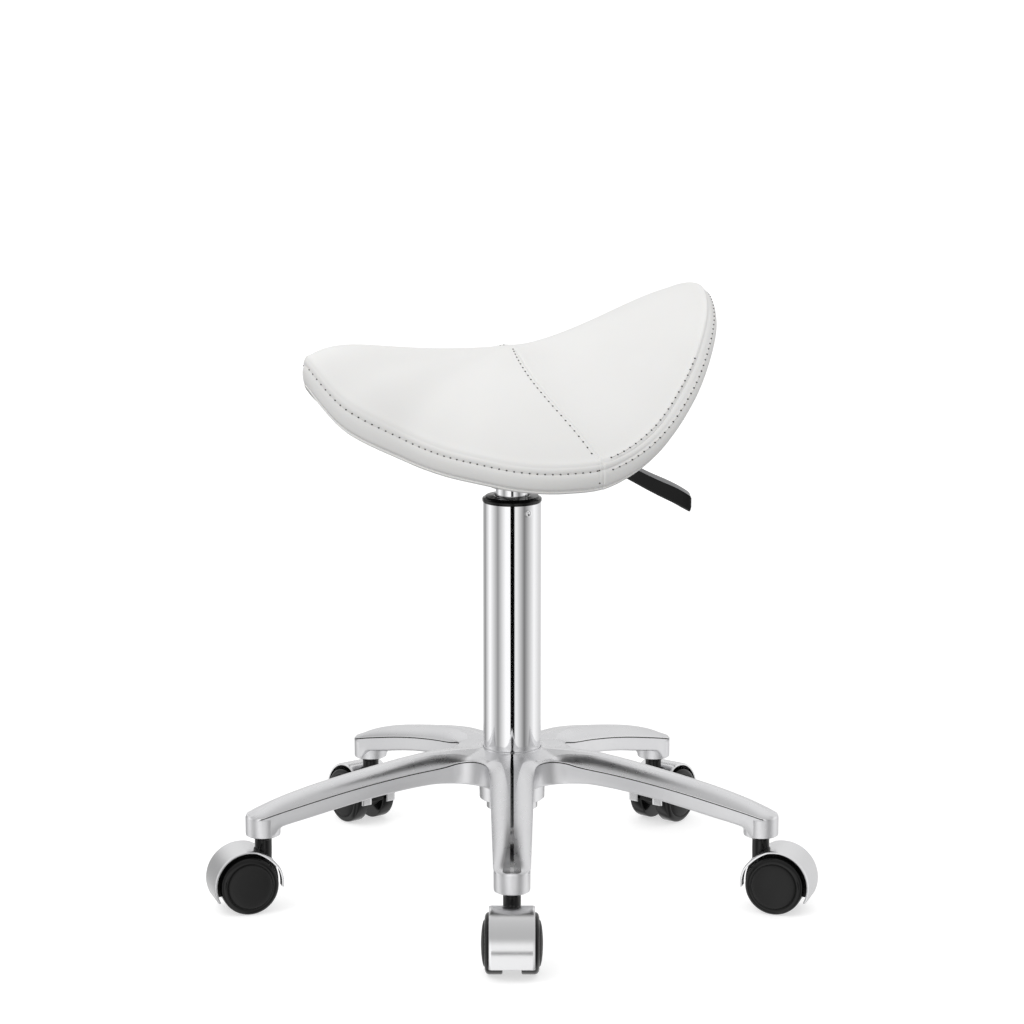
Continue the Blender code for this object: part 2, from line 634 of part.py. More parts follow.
# ---- casters, drawn with the stem axis as local Z and local X pointing outwards -----------------------------
def build_caster(number, stem_axis):
    prefix = "caster_%d_" % number
    axle = (TRAIL, 0.0, WHEEL_R)
    across = (90.0, 0.0, 0.0)
    turned(prefix + "stem", [
        (0.0, STEM_TOP), (STEM_R - 1.2, STEM_TOP), (STEM_R, STEM_TOP - 1.5), (STEM_R, 50.0), (0.0, 50.0),
    ], "steel", stem_axis, 12)
    turned("grip_ring_%d" % number, ring_profile(STEM_R + 0.15, STEM_R + 0.45, 70.0, 78.0), "steel", stem_axis, 12,
           ring=True)

    body = rod(prefix + "body", HOOD_R - HOOD_THICK - GAP, 2 * FIN_HALF, "black_nylon", stem_axis, 32, location=axle,
               rotation_deg=across)
    ground = box("ground_%d" % number, (TRAIL - 40.0, -20.0, -20.0), (TRAIL + 40.0, 20.0, FIN_CLEARANCE), None,
                 stem_axis)
    combine(body, ground, "DIFFERENCE")
    neck_top = BOSS_BOTTOM - 0.5
    neck = turned("neck_%d" % number, [
        (0.0, neck_top), (NECK_R - 0.8, neck_top), (NECK_R, neck_top - 0.8), (NECK_R, 40.0), (0.0, 40.0),
    ], None, stem_axis, 16)
    combine(body, neck, "UNION")
    socket = rod("socket_%d" % number, STEM_R + GAP, 30.0, None, stem_axis, 12, location=(0.0, 0.0, 64.7))
    combine(body, socket, "DIFFERENCE")
    combine(body, rod("axle_bore_%d" % number, AXLE_R + GAP, 20.0, None, stem_axis, 12, location=axle,
                      rotation_deg=across), "DIFFERENCE")

    hood = turned(prefix + "hood", [(HOOD_R, HOOD_HALF), (HOOD_R, -HOOD_HALF)], "chromed_plastic", stem_axis, 18,
                  sweep_deg=HOOD_SWEEP_DEG, location=axle, rotation_deg=(90.0, -HOOD_START_DEG, 0.0))
    shell = hood.modifiers.new("shell", "SOLIDIFY")
    shell.thickness = HOOD_THICK * MM
    shell.offset = -1.0
    opening = rod("neck_opening_%d" % number, NECK_R + GAP, 40.0, None, stem_axis, 16, location=(0.0, 0.0, 55.0))
    combine(hood, opening, "DIFFERENCE")

    rod(prefix + "axle", AXLE_R, 2 * AXLE_HALF, "steel", stem_axis, 12, location=axle, rotation_deg=across)
    half_side = 180.0 / WHEEL_SIDES
    rim = WHEEL_R / math.cos(math.radians(half_side))
    wheel_profile = [
        (0.0, 23.4), (17.0, 22.0), (rim - 1.4, 20.4), (rim, 18.6), (rim, 7.6), (AXLE_R + GAP, 7.4),
        (AXLE_R + GAP, AXLE_HALF + 0.6), (0.0, AXLE_HALF + 0.6),
    ]
    for side, lean in (("left", -90.0), ("right", 90.0)):
        turned(prefix + "wheel_" + side, wheel_profile, "black_nylon", stem_axis, WHEEL_SIDES, location=axle,
               rotation_deg=(lean, half_side, 0.0))


parts, cutters = start_scene()
column = add_empty("column_axis", (0.0, COLUMN_Y, 0.0))
seat = add_empty("seat_axis", (0.0, 0.0, 0.0), column, SEAT_TURN_DEG)
lever = add_empty("lever_pivot", (PIVOT_BACK, 0.0, PIVOT_Z), seat)
casters = []
for arm_index in range(ARM_COUNT):
    bearing = FIRST_ARM_DEG + 360.0 / ARM_COUNT * arm_index
    place_x = CASTER_R * math.cos(math.radians(bearing))
    place_y = CASTER_R * math.sin(math.radians(bearing))
    casters.append(add_empty("caster_%d_axis" % (arm_index + 1), (place_x, place_y, 0.0), column, bearing))

build_base()
build_column()
build_seat_plate()
build_lever()
build_seat()
for arm_index, stem_axis in enumerate(casters):
    build_caster(arm_index + 1, stem_axis)
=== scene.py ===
"""Looks of the saddle stool: chrome, cast aluminium, black nylon and stitched white vinyl."""
import json
import math

import bmesh
import bpy
import numpy as np
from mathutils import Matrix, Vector


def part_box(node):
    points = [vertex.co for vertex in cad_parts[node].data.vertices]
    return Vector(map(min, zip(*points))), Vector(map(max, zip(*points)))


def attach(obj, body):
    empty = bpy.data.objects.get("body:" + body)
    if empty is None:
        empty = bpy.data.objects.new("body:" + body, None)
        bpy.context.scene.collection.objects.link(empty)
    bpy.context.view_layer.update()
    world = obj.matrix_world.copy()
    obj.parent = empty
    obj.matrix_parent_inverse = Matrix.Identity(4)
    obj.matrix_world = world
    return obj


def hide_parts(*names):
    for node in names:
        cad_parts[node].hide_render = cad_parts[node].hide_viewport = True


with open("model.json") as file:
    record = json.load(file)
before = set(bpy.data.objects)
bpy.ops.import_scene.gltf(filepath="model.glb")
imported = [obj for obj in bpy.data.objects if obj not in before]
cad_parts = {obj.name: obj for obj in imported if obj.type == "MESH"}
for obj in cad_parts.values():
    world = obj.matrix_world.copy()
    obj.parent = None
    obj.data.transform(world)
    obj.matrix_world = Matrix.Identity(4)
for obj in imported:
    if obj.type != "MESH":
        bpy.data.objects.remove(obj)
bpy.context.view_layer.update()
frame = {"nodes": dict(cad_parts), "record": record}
NODES = frame["nodes"]
SLOT_OF = {entry["node"]: entry["material_slot"] for entry in frame["record"]["subparts"]}
MM = 0.001
TAU = 2.0 * math.pi


# ---- places taken from the frame, in millimetres -----------------------------------------------------------
def corners(node):
    low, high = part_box(node)
    return np.array(low) / MM, np.array(high) / MM


def centre(node):
    low, high = corners(node)
    return (low + high) / 2.0


COLUMN = centre("outer_tube")
COLUMN_X, COLUMN_Y = COLUMN[0], COLUMN[1]
TUBE_R = 25.0
TUBE_BOTTOM = corners("outer_tube")[0][2]
TUBE_TOP = corners("outer_tube")[1][2]
CYLINDER_LOW, CYLINDER_HIGH = corners("pressure_cylinder")
CYLINDER_R = 14.0
WHEEL_R = centre("caster_1_axle")[2]
CASTER_R = math.hypot(*(centre("caster_1_stem")[:2] - COLUMN[:2]))
TRAIL = math.hypot(*(centre("caster_1_axle")[:2] - centre("caster_1_stem")[:2]))
CASTER_COUNT = 5
FIRST_ARM_DEG = -90.0
ARM_STEP_DEG = 360.0 / CASTER_COUNT
pin_offset = centre("lever_pivot_pin")[:2] - COLUMN[:2]
CANTLE_DEG = math.degrees(math.atan2(pin_offset[1], pin_offset[0]))
PAN_BOTTOM = corners("seat_plate")[1][2] + 0.3


# ---- mesh helpers ------------------------------------------------------------------------------------------
def turned(angle_deg):
    c = math.cos(math.radians(angle_deg))
    s = math.sin(math.radians(angle_deg))

    def place(point):
        x, y, z = point
        return (x * c - y * s, x * s + y * c, z)

    return place


def straight(point):
    return point


def in_metres(point):
    """Place in the frame, in metres, of a point in millimetres round the column axis."""
    x, y, z = point
    return ((x + COLUMN_X) * MM, (y + COLUMN_Y) * MM, z * MM)


def new_object(name, points, faces, materials, face_materials=None, sharp_deg=32.0):
    """Object from points in millimetres round the column axis, with its faces outwards and smooth."""
    mesh = bpy.data.meshes.new(name)
    mesh.from_pydata([in_metres(point) for point in points], [], faces)
    for found in materials:
        mesh.materials.append(found)
    if face_materials is not None:
        mesh.polygons.foreach_set("material_index", face_materials)
    part = bpy.data.objects.new(name, mesh)
    bpy.context.scene.collection.objects.link(part)
    shell = bmesh.new()
    shell.from_mesh(mesh)
    bmesh.ops.recalc_face_normals(shell, faces=shell.faces)
    shell.to_mesh(mesh)
    shell.free()
    mesh.shade_smooth()
    mesh.set_sharp_from_angle(angle=math.radians(sharp_deg))
    return part


def skin_rings(rings, loop=False, start_pole=None, end_pole=None, caps=True):
    """Points and faces that join equal rings, closed at the ends by poles or flat caps."""
    points = [p for ring in rings for p in ring]
    count = len(rings[0])
    faces = []
    pairs = [(i, i + 1) for i in range(len(rings) - 1)]
    if loop:
        pairs.append((len(rings) - 1, 0))
    for a, b in pairs:
        for k in range(count):
            n = (k + 1) % count
            faces.append((a * count + k, a * count + n, b * count + n, b * count + k))
    if not loop and caps:
        for base, pole in ((0, start_pole), ((len(rings) - 1) * count, end_pole)):
            if pole is None:
                faces.append(tuple(base + k for k in range(count)))
            else:
                points.append(pole)
                faces.extend((len(points) - 1, base + k, base + (k + 1) % count) for k in range(count))
    return points, faces


def circle(radius, z, segments, mid=(0.0, 0.0)):
    return [
        (mid[0] + radius * math.cos(TAU * k / segments), mid[1] + radius * math.sin(TAU * k / segments), z)
        for k in range(segments)
    ]


def turned_piece(name, profile, material, body, node=None, segments=96, mid=(0.0, 0.0), place=straight,
                 loop=False):
    """Piece turned about an upright axis from (radius, z) points."""
    rings = [[place(p) for p in circle(r, z, segments, mid)] for r, z in profile]
    points, faces = skin_rings(rings, loop)
    part = new_object(name, points, faces, [material])
    finish_piece(part, body, node)
    return part


def finish_piece(part, body, node=None):
    """Rides on a body, and stands for one or more CAD nodes, which it hides."""
    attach(part, body)
    nodes = [node] if isinstance(node, str) else list(node or [])
    if nodes:
        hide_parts(*nodes)


def smooth_curve(x, stations):
    """Smooth interpolation through (x, value) stations, with end slopes carried on."""
    xs = [s[0] for s in stations]
    ys = [s[1] for s in stations]
    if x <= xs[0]:
        return ys[0]
    if x >= xs[-1]:
        return ys[-1]
    i = int(np.searchsorted(xs, x, side="right")) - 1
    slopes = []
    for j in (i, i + 1):
        low = max(j - 1, 0)
        high = min(j + 1, len(xs) - 1)
        slopes.append((ys[high] - ys[low]) / (xs[high] - xs[low]))
    h = xs[i + 1] - xs[i]
    t = (x - xs[i]) / h
    return ((1 + 2 * t) * (1 - t) ** 2 * ys[i] + t * (1 - t) ** 2 * h * slopes[0]
            + t * t * (3 - 2 * t) * ys[i + 1] + t * t * (t - 1) * h * slopes[1])


# ---- materials ---------------------------------------------------------------------------------------------
class Nodes:
    """Small helper for building a node tree."""

    def __init__(self, name):
        self.material = bpy.data.materials.new(name)
        self.material.use_nodes = True
        self.tree = self.material.node_tree
        self.shader = self.tree.nodes["Principled BSDF"]

    def set(self, **values):
        for key, value in values.items():
            self.shader.inputs[key.replace("_", " ")].default_value = value

    def add(self, kind, **inputs):
        node = self.tree.nodes.new(kind)
        for key, value in inputs.items():
            node.inputs[key].default_value = value
        return node

    def link(self, a, out, b, into):
        self.tree.links.new(a.outputs[out], b.inputs[into])

    def on_surface(self, texture):
        """Texture fixed to the piece itself."""
        self.link(self.add("ShaderNodeTexCoord"), "Object", texture, "Vector")
        return texture

    def noise(self, scale, detail, roughness=0.5):
        texture = self.add("ShaderNodeTexNoise", Scale=scale, Detail=detail, Roughness=roughness)
        return self.on_surface(texture)

    def tint(self, cloud, dark, light, light_at=0.7):
        """Base colour that drifts between two tints with a noise texture."""
        ramp = self.add("ShaderNodeValToRGB")
        start, end = ramp.color_ramp.elements
        start.position = 0.3
        start.color = (*dark, 1.0)
        end.position = light_at
        end.color = (*light, 1.0)
        self.link(cloud, "Fac", ramp, "Fac")
        self.link(ramp, "Color", self.shader, "Base Color")

    def vary_roughness(self, cloud, low, high):
        spread = self.add("ShaderNodeMapRange")
        spread.inputs["To Min"].default_value = low
        spread.inputs["To Max"].default_value = high
        self.link(cloud, "Fac", spread, "Value")
        self.link(spread, "Result", self.shader, "Roughness")

    def bump(self, source, out, strength, distance_mm, before=None):
        bump = self.add("ShaderNodeBump", Strength=strength, Distance=distance_mm * MM)
        self.link(source, out, bump, "Height")
        if before is not None:
            self.link(before, "Normal", bump, "Normal")
        self.link(bump, "Normal", self.shader, "Normal")
        return bump


def grey(value):
    return (value, value, value)


def chrome(name, shade=0.84, rough=0.045):
    n = Nodes(name)
    n.set(Metallic=1.0)
    n.tint(n.noise(14.0, 4.0), (shade * 0.985, shade * 0.985, shade), (shade, shade, shade * 1.01))
    n.vary_roughness(n.noise(220.0, 4.0), rough, rough + 0.035)
    n.bump(n.noise(900.0, 2.0), "Fac", 0.02, 0.02)
    return n.material


def polished_aluminium():
    n = Nodes("polished_aluminium")
    n.set(Metallic=1.0)
    n.tint(n.noise(9.0, 5.0), (0.77, 0.77, 0.785), (0.82, 0.82, 0.83))
    n.vary_roughness(n.noise(160.0, 6.0), 0.24, 0.33)
    n.bump(n.noise(520.0, 4.0), "Fac", 0.05, 0.05)
    return n.material


def satin_aluminium():
    n = Nodes("satin_aluminium")
    n.set(Metallic=1.0)
    n.tint(n.noise(12.0, 5.0), (0.74, 0.74, 0.755), (0.80, 0.80, 0.81))
    n.vary_roughness(n.noise(300.0, 6.0), 0.34, 0.46)
    n.bump(n.noise(1500.0, 5.0), "Fac", 0.12, 0.06)
    return n.material


def black_plastic(name, rough_low, rough_high, grain_scale, grain, shade):
    n = Nodes(name)
    n.set(Specular_IOR_Level=0.3)
    n.tint(n.noise(30.0, 4.0), grey(shade), grey(shade * 1.6), 0.75)
    n.vary_roughness(n.noise(240.0, 4.0), rough_low, rough_high)
    n.bump(n.noise(grain_scale, 3.0), "Fac", grain, 0.05)
    return n.material


def white_vinyl():
    n = Nodes("white_vinyl")
    n.set(Subsurface_Weight=0.04, Subsurface_Radius=(0.004, 0.003, 0.002))
    n.set(Coat_Weight=0.06, Coat_Roughness=0.3)
    n.tint(n.noise(7.0, 5.0), (0.80, 0.797, 0.785), (0.835, 0.832, 0.822))
    n.vary_roughness(n.noise(60.0, 5.0), 0.42, 0.54)
    pebble = n.on_surface(n.add("ShaderNodeTexVoronoi", Scale=1150.0))
    pebble.feature = "SMOOTH_F1"
    grain = n.bump(pebble, "Distance", 0.22, 0.12)
    creases = n.bump(n.noise(420.0, 6.0, roughness=0.7), "Fac", 0.10, 0.10, before=grain)
    n.bump(n.noise(16.0, 4.0), "Fac", 0.10, 0.6, before=creases)
    return n.material


def plain(name, colour, low, high, metallic=0.0, grain_scale=600.0, grain=0.1):
    n = Nodes(name)
    n.set(Metallic=metallic)
    n.tint(n.noise(40.0, 4.0), tuple(c * 0.88 for c in colour), colour, 0.75)
    n.vary_roughness(n.noise(200.0, 4.0), low, high)
    n.bump(n.noise(grain_scale, 4.0), "Fac", grain, 0.06)
    return n.material


CHROME = chrome("polished_chrome")
HOOD_CHROME = chrome("hood_chrome", 0.82, 0.21)
POLISHED = polished_aluminium()
SATIN = satin_aluminium()
GLOSS_BLACK = black_plastic("gloss_black", 0.10, 0.16, 700.0, 0.02, 0.005)
SATIN_BLACK = black_plastic("satin_black", 0.42, 0.52, 1200.0, 0.10, 0.010)
LEVER_BLACK = black_plastic("lever_black", 0.22, 0.30, 900.0, 0.05, 0.006)
# Grey on the paddle's two top chamfers is a painted highlight where they face the light.
LEVER_CHAMFER_HIGHLIGHT = plain("lever_chamfer_painted_highlight", (0.34, 0.34, 0.35), 0.45, 0.55)
VINYL = white_vinyl()
THREAD = plain("white_thread", (0.80, 0.79, 0.77), 0.6, 0.75, grain_scale=3000.0, grain=0.3)
# Near-black capsules at the needle holes: painted shade inside the holes.
STITCH_HOLE_SHADE = plain("stitch_hole_painted_shade", (0.07, 0.068, 0.066), 0.7, 0.8)
STEEL = plain("machined_steel", (0.55, 0.55, 0.56), 0.25, 0.35, metallic=1.0, grain_scale=900.0)
DARK_STEEL = plain("black_coated_steel", (0.022, 0.022, 0.024), 0.35, 0.5)
PAN_PLASTIC = plain("pan_plastic", (0.03, 0.03, 0.032), 0.5, 0.62, grain_scale=900.0, grain=0.25)
RUBBER = plain("rubber", (0.02, 0.02, 0.02), 0.7, 0.85)
ACETAL = plain("grey_acetal", (0.42, 0.42, 0.41), 0.4, 0.5)
FOAM = plain("cream_foam", (0.75, 0.68, 0.50), 0.9, 0.95, grain_scale=350.0, grain=0.6)

BY_SLOT = {
    "cast_aluminium": POLISHED,
    "chromed_steel": CHROME,
    "black_gloss": GLOSS_BLACK,
    "grey_acetal": ACETAL,
    "steel": STEEL,
    "black_rubber": RUBBER,
    "black_steel": DARK_STEEL,
    "white_vinyl": VINYL,
    "cream_foam": FOAM,
    "black_plastic": PAN_PLASTIC,
    "black_nylon": SATIN_BLACK,
    "chromed_plastic": HOOD_CHROME,
}
for node_name, node in NODES.items():
    node.data.materials.clear()
    node.data.materials.append(BY_SLOT[SLOT_OF[node_name]])
    node.data.shade_smooth()
    node.data.set_sharp_from_angle(angle=math.radians(35.0))


# ---- base star ---------------------------------------------------------------------------------------------
# Heights and widths along an arm are (distance from the column axis, value) stations, in millimetres.
HUB_R = 27.4
TIP_CENTRE = CASTER_R - 0.6
TIP_R = 15.3
FILLET_R = 24.0
RIDGE = (
    (27.0, 123.6), (50.0, 123.8), (76.0, 122.8), (100.0, 119.4), (124.0, 114.7), (152.0, 108.9),
    (182.0, 101.9), (210.0, 93.4), (228.0, 85.6), (236.0, 81.4), (240.0, 79.9),
)
CREASE = (
    (48.0, 120.3), (60.0, 117.6), (71.0, 115.0), (100.0, 110.8), (129.0, 105.8), (158.0, 99.8),
    (187.0, 92.9), (212.0, 86.6), (230.0, 81.7), (239.0, 79.6),
)
SKIRT = (
    (48.0, 97.5), (70.0, 99.4), (82.0, 99.2), (110.0, 95.6), (142.0, 89.6), (187.0, 78.9),
    (206.0, 74.4), (212.0, 72.0), (216.5, 66.0), (220.0, 63.9), (240.0, 63.8),
)
HALF_WIDTH = (
    (60.0, 19.5), (90.0, 18.4), (130.0, 17.6), (180.0, 16.4), (210.0, 15.6), (223.0, 15.3), (240.0, 15.3),
)
# Half-width of the nearly flat facet along the ridge.
FACET = (
    (27.0, 24.0), (34.0, 19.0), (42.0, 14.5), (49.0, 11.3), (66.0, 8.0), (83.0, 6.0), (116.0, 3.3),
    (147.0, 1.7), (190.0, 1.7), (214.0, 5.0), (236.0, 8.4),
)
RIDGE_FLAT = 1.5
FACET_TILT = math.tan(math.radians(5.0))
# Shares of the way across the facet, and from its edge to the crease.
CROWN_STEPS = (0.0, 0.5, 1.0)
OUTER_STEPS = (0.12, 0.28, 0.44, 0.6, 0.74, 0.85, 0.93, 0.98, 1.0)
END_CAP_START = TIP_CENTRE + 6.5
TIP_STEPS = 12
ARM_STEPS = 38
VALLEY_STEPS = 22
VALLEY_START = 84.0
WALL = 4.4
# Behind this distance an arm is hollow underneath, in front of it the arm's end is solid.
SOLID_FROM = CASTER_R - 19.0
RIDGE_STRIP_TO = TIP_CENTRE + 6.0
# Casting materials by face: polished crown, satin skirt, gloss black painted as a dark reflection in the
# groove under the crease, and the chrome ridge strip.
CASTING_MATERIALS = (POLISHED, SATIN, GLOSS_BLACK, CHROME)
CROWN_FACE, SKIRT_FACE, GROOVE_PAINTED_REFLECTION_FACE, RIDGE_FACE = range(4)


def arm_rows():
    """(inner, outer) plan points across half an arm, from the tip back to the valley between two arms."""
    rows = []
    for step in range(TIP_STEPS + 1):
        beta = math.radians(90.0 - 90.0 / TIP_STEPS * step)
        outer = (TIP_CENTRE + TIP_R * math.sin(beta), TIP_R * math.cos(beta))
        inner = (TIP_CENTRE + (TIP_R - 3.0) * math.sin(beta), 0.0)
        rows.append((inner, outer))
    for x in np.linspace(TIP_CENTRE - 2.0, VALLEY_START, ARM_STEPS):
        rows.append(((x, 0.0), (x, smooth_curve(x, HALF_WIDTH))))
    half_step = math.radians(ARM_STEP_DEG / 2.0)
    side = smooth_curve(60.0, HALF_WIDTH)
    far = (side + FILLET_R) / math.sin(half_step)
    mid = (far * math.cos(half_step), far * math.sin(half_step))
    start = (VALLEY_START, smooth_curve(VALLEY_START, HALF_WIDTH))
    run = start[0] - mid[0]
    sweep = math.pi / 2.0 - half_step
    arc = FILLET_R * sweep
    for step in range(1, VALLEY_STEPS + 1):
        t = step / VALLEY_STEPS
        along = t * (run + arc)
        if along < run:
            share = along / run
            outer = (start[0] - along, start[1] + (side - start[1]) * share)
        else:
            a = -math.pi / 2.0 - (along - run) / FILLET_R
            outer = (mid[0] + FILLET_R * math.cos(a), mid[1] + FILLET_R * math.sin(a))
        ridge_run = start[0] - HUB_R
        inner_along = t * (ridge_run + HUB_R * half_step)
        if inner_along < ridge_run:
            inner = (start[0] - inner_along, 0.0)
        else:
            a = (inner_along - ridge_run) / HUB_R
            inner = (HUB_R * math.cos(a), HUB_R * math.sin(a))
        rows.append((inner, outer))
    return rows


def crown_share(f):
    """Height share across the crown: 1 on the ridge, 0 at the crease, with a rounded shoulder."""
    return max(1.0 - f ** 2.3, 0.0) ** 0.82


def arm_columns(inner, outer):
    """Points of one row from the ridge over the crease, down the skirt and up into the hollow underneath."""
    r_in = math.hypot(*inner)
    r_out = math.hypot(*outer)
    ridge = smooth_curve(r_in, RIDGE)
    crease = smooth_curve(r_out, CREASE)
    bottom = smooth_curve(r_out, SKIRT)
    width = math.dist(inner, outer)
    facet = min(max(smooth_curve(r_in, FACET), RIDGE_FLAT + 0.5) / width, 0.86)
    in_x, in_y = inner
    dx = (outer[0] - in_x) / width
    dy = (outer[1] - in_y) / width
    flat = min(RIDGE_FLAT, 0.75 * width * facet)
    tilt_drop = (width * facet - flat) * FACET_TILT
    facet_drop = min(tilt_drop / max(ridge - crease, 0.5), 0.7)
    edge_share = max(crown_share(facet), 0.02)
    points = []

    def add(distance, z):
        points.append((in_x + dx * distance, in_y + dy * distance, z))

    add(0.0, ridge)
    for f in CROWN_STEPS:
        add(flat + (width * facet - flat) * f, ridge - (ridge - crease) * facet_drop * f)
    for f in OUTER_STEPS:
        across = facet + (1.0 - facet) * f
        share = (1.0 - facet_drop) * crown_share(across) / edge_share
        add(width * across, crease + (ridge - crease) * share)
    end_cap = outer[0] > END_CAP_START and outer[1] < TIP_R + 1.0
    lip = 0.25 if end_cap else 0.9
    add(width + 0.05, crease - 0.5)
    add(width - lip, crease - 1.7)
    add(width - lip, crease - 2.6)
    add(width - lip + 0.15, bottom + 0.55 * (crease - bottom))
    add(width - lip + 0.1, bottom + 2.4)
    add(width - lip - 0.3, bottom + 0.8)
    add(width - lip - 1.4, bottom)
    if width > WALL + 3.0:
        add(width - WALL, bottom)
        add(width - WALL - 0.6, bottom + 0.8)
        roof = max(crease - 7.0, bottom + 1.0)
        add(width - WALL - 1.4, roof - 1.0)
        add(width * 0.5, roof)
        add(0.0, roof)
    else:
        for share in (0.7, 0.6, 0.5, 0.4, 0.0):
            add(width * share, bottom)
    return points


def build_base():
    rows = arm_rows()
    half = [arm_columns(inner, outer) for inner, outer in rows]
    columns = len(half[0])
    facet_column = len(CROWN_STEPS)
    crease_column = facet_column + len(OUTER_STEPS)
    groove_column = crease_column + 1
    skirt_foot = crease_column + 8
    solid_rows = sum(1 for inner, _ in rows if inner[0] > SOLID_FROM)
    star = bmesh.new()
    for arm in range(CASTER_COUNT):
        place = turned(FIRST_ARM_DEG + ARM_STEP_DEG * arm)
        for mirror in (1.0, -1.0):
            grid = []
            for i, row in enumerate(half):
                line = []
                for j, (x, y, z) in enumerate(row):
                    if i < solid_rows and j > skirt_foot:
                        z = smooth_curve(math.hypot(x, y), SKIRT)
                    line.append(star.verts.new(place((x, y * mirror, z))))
                grid.append(line)
            for i in range(len(grid) - 1):
                for j in range(columns - 1):
                    quad = (grid[i][j], grid[i][j + 1], grid[i + 1][j + 1], grid[i + 1][j])
                    if mirror < 0.0:
                        quad = quad[::-1]
                    face = star.faces.new(quad)
                    face.material_index = CROWN_FACE
                    if rows[i][1][0] <= END_CAP_START:
                        if j > groove_column:
                            face.material_index = SKIRT_FACE
                        # The groove under the crease is gloss black: a painted dark reflection, the black
                        # line under the crown edge.
                        elif j == groove_column:
                            face.material_index = GROOVE_PAINTED_REFLECTION_FACE
                    if j == 0 and rows[i + 1][0][0] < RIDGE_STRIP_TO:
                        face.material_index = RIDGE_FACE
                    face.smooth = True
                for column in (1, facet_column, crease_column, groove_column + 1):
                    edge = star.edges.get((grid[i][column], grid[i + 1][column]))
                    edge.smooth = False
    bmesh.ops.remove_doubles(star, verts=star.verts, dist=0.02)
    bmesh.ops.dissolve_degenerate(star, dist=0.01, edges=star.edges)
    bmesh.ops.recalc_face_normals(star, faces=star.faces)
    for vertex in star.verts:
        vertex.co = in_metres(vertex.co)
    mesh = bpy.data.meshes.new("base_casting")
    star.to_mesh(mesh)
    star.free()
    for found in CASTING_MATERIALS:
        mesh.materials.append(found)
    casting = bpy.data.objects.new("base_casting", mesh)
    bpy.context.scene.collection.objects.link(casting)
    finish_piece(casting, "base", "base_star")

    turned_piece("hub_boss", [
        (25.1, 121.0), (25.1, 78.4), (25.8, 77.6), (27.6, 77.5), (28.3, 78.2), (28.6, 90.0), (28.9, 104.0),
        (30.0, 114.0), (30.0, 118.0),
    ], POLISHED, "base", loop=True)
    turned_piece("hub_collar", [
        (25.15, 116.0), (25.15, 123.0), (25.4, 123.4), (26.4, 123.6), (27.6, 123.6), (27.9, 123.2),
        (27.9, 116.0),
    ], POLISHED, "base", loop=True, segments=128)
    for arm in range(CASTER_COUNT):
        place = turned(FIRST_ARM_DEG + ARM_STEP_DEG * arm)
        turned_piece("stem_boss_%d" % (arm + 1), [
            (6.1, 80.0), (6.1, 64.4), (6.7, 63.7), (13.6, 63.7), (14.6, 64.3), (14.9, 65.6), (14.9, 80.0),
        ], SATIN, "base", mid=(CASTER_R, 0.0), place=place, loop=True, segments=64)


# ---- column ------------------------------------------------------------------------------------------------
TUBE_SEGMENTS = 384
TUBE_BORE_R = 23.5
TUBE_FLOOR_R = 22.3
# The dimple under the cap: its bearing, distance below the tube's top, depth, radius and raised rim.
DIMPLE_ANGLE = math.radians(-56.0)
DIMPLE_BELOW_TOP = 7.0
DIMPLE_DEPTH = 0.95
DIMPLE_R = 1.5
RIM_RISE = 0.12
RIM_R = 2.5
RIM_SPREAD = 0.7


def build_column():
    dimple_z = TUBE_TOP - DIMPLE_BELOW_TOP
    heights = [TUBE_BOTTOM + 10.0, 200.0, 300.0, TUBE_TOP - 18.0]
    heights += list(np.arange(TUBE_TOP - 12.0, TUBE_TOP - 2.0, 0.35))
    heights += [TUBE_TOP - 0.9, TUBE_TOP - 0.3]
    rings = [circle(TUBE_FLOOR_R, z, TUBE_SEGMENTS) for z in (TUBE_BOTTOM, TUBE_BOTTOM + 6.0)]
    for z in heights:
        ring = []
        for k in range(TUBE_SEGMENTS):
            a = TAU * k / TUBE_SEGMENTS
            around = (a - DIMPLE_ANGLE + math.pi) % TAU - math.pi
            away = math.hypot(around * TUBE_R, z - dimple_z)
            pit = DIMPLE_DEPTH * math.exp(-(away / DIMPLE_R) ** 4)
            rim = RIM_RISE * math.exp(-((away - RIM_R) / RIM_SPREAD) ** 2)
            r = TUBE_R - (pit - rim)
            ring.append((r * math.cos(a), r * math.sin(a), z))
        rings.append(ring)
    rings.append(circle(TUBE_R - 0.35, TUBE_TOP, TUBE_SEGMENTS))
    rings.append(circle(TUBE_BORE_R, TUBE_TOP, TUBE_SEGMENTS))
    rings.append(circle(TUBE_BORE_R, TUBE_TOP - 12.0, TUBE_SEGMENTS))
    points, faces = skin_rings(rings, caps=False)
    faces.append(tuple(range(TUBE_SEGMENTS)))
    tube = new_object("column_tube", points, faces, [CHROME])
    finish_piece(tube, "base", "outer_tube")

    t = TUBE_TOP
    turned_piece("column_cap", [
        (14.25, t + 0.1), (24.9, t + 0.1), (25.5, t + 0.5), (25.6, t + 2.4), (25.2, t + 3.1), (23.9, t + 3.5),
        (23.4, t + 4.3), (22.7, t + 4.9), (17.4, t + 5.2), (16.6, t + 5.4), (15.6, t + 5.4), (14.6, t + 5.0),
        (14.25, t + 4.2),
    ], GLOSS_BLACK, "base", "top_cap", loop=True)

    low = CYLINDER_LOW[2]
    high = CYLINDER_HIGH[2]
    turned_piece("lift_cylinder", [
        (5.1, low), (13.2, low), (CYLINDER_R, low + 1.2), (CYLINDER_R, high - 33.0), (13.0, high - 0.8),
        (12.4, high), (3.1, high), (3.1, high - 8.0), (5.1, high - 8.0),
    ], CHROME, "seat", "pressure_cylinder", loop=True)


# ---- casters -----------------------------------------------------------------------------------------------
HOOD_R = 30.2
HOOD_THICK = 1.7
HOOD_HALF = 18.6
HOOD_BACK_DEG = -27.0
HOOD_CREASE_DEG = 104.0
HOOD_FRONT_DEG = 188.0
HOOD_STEP_DEG = 2.0
HOOD_FLATTENING = 1.1
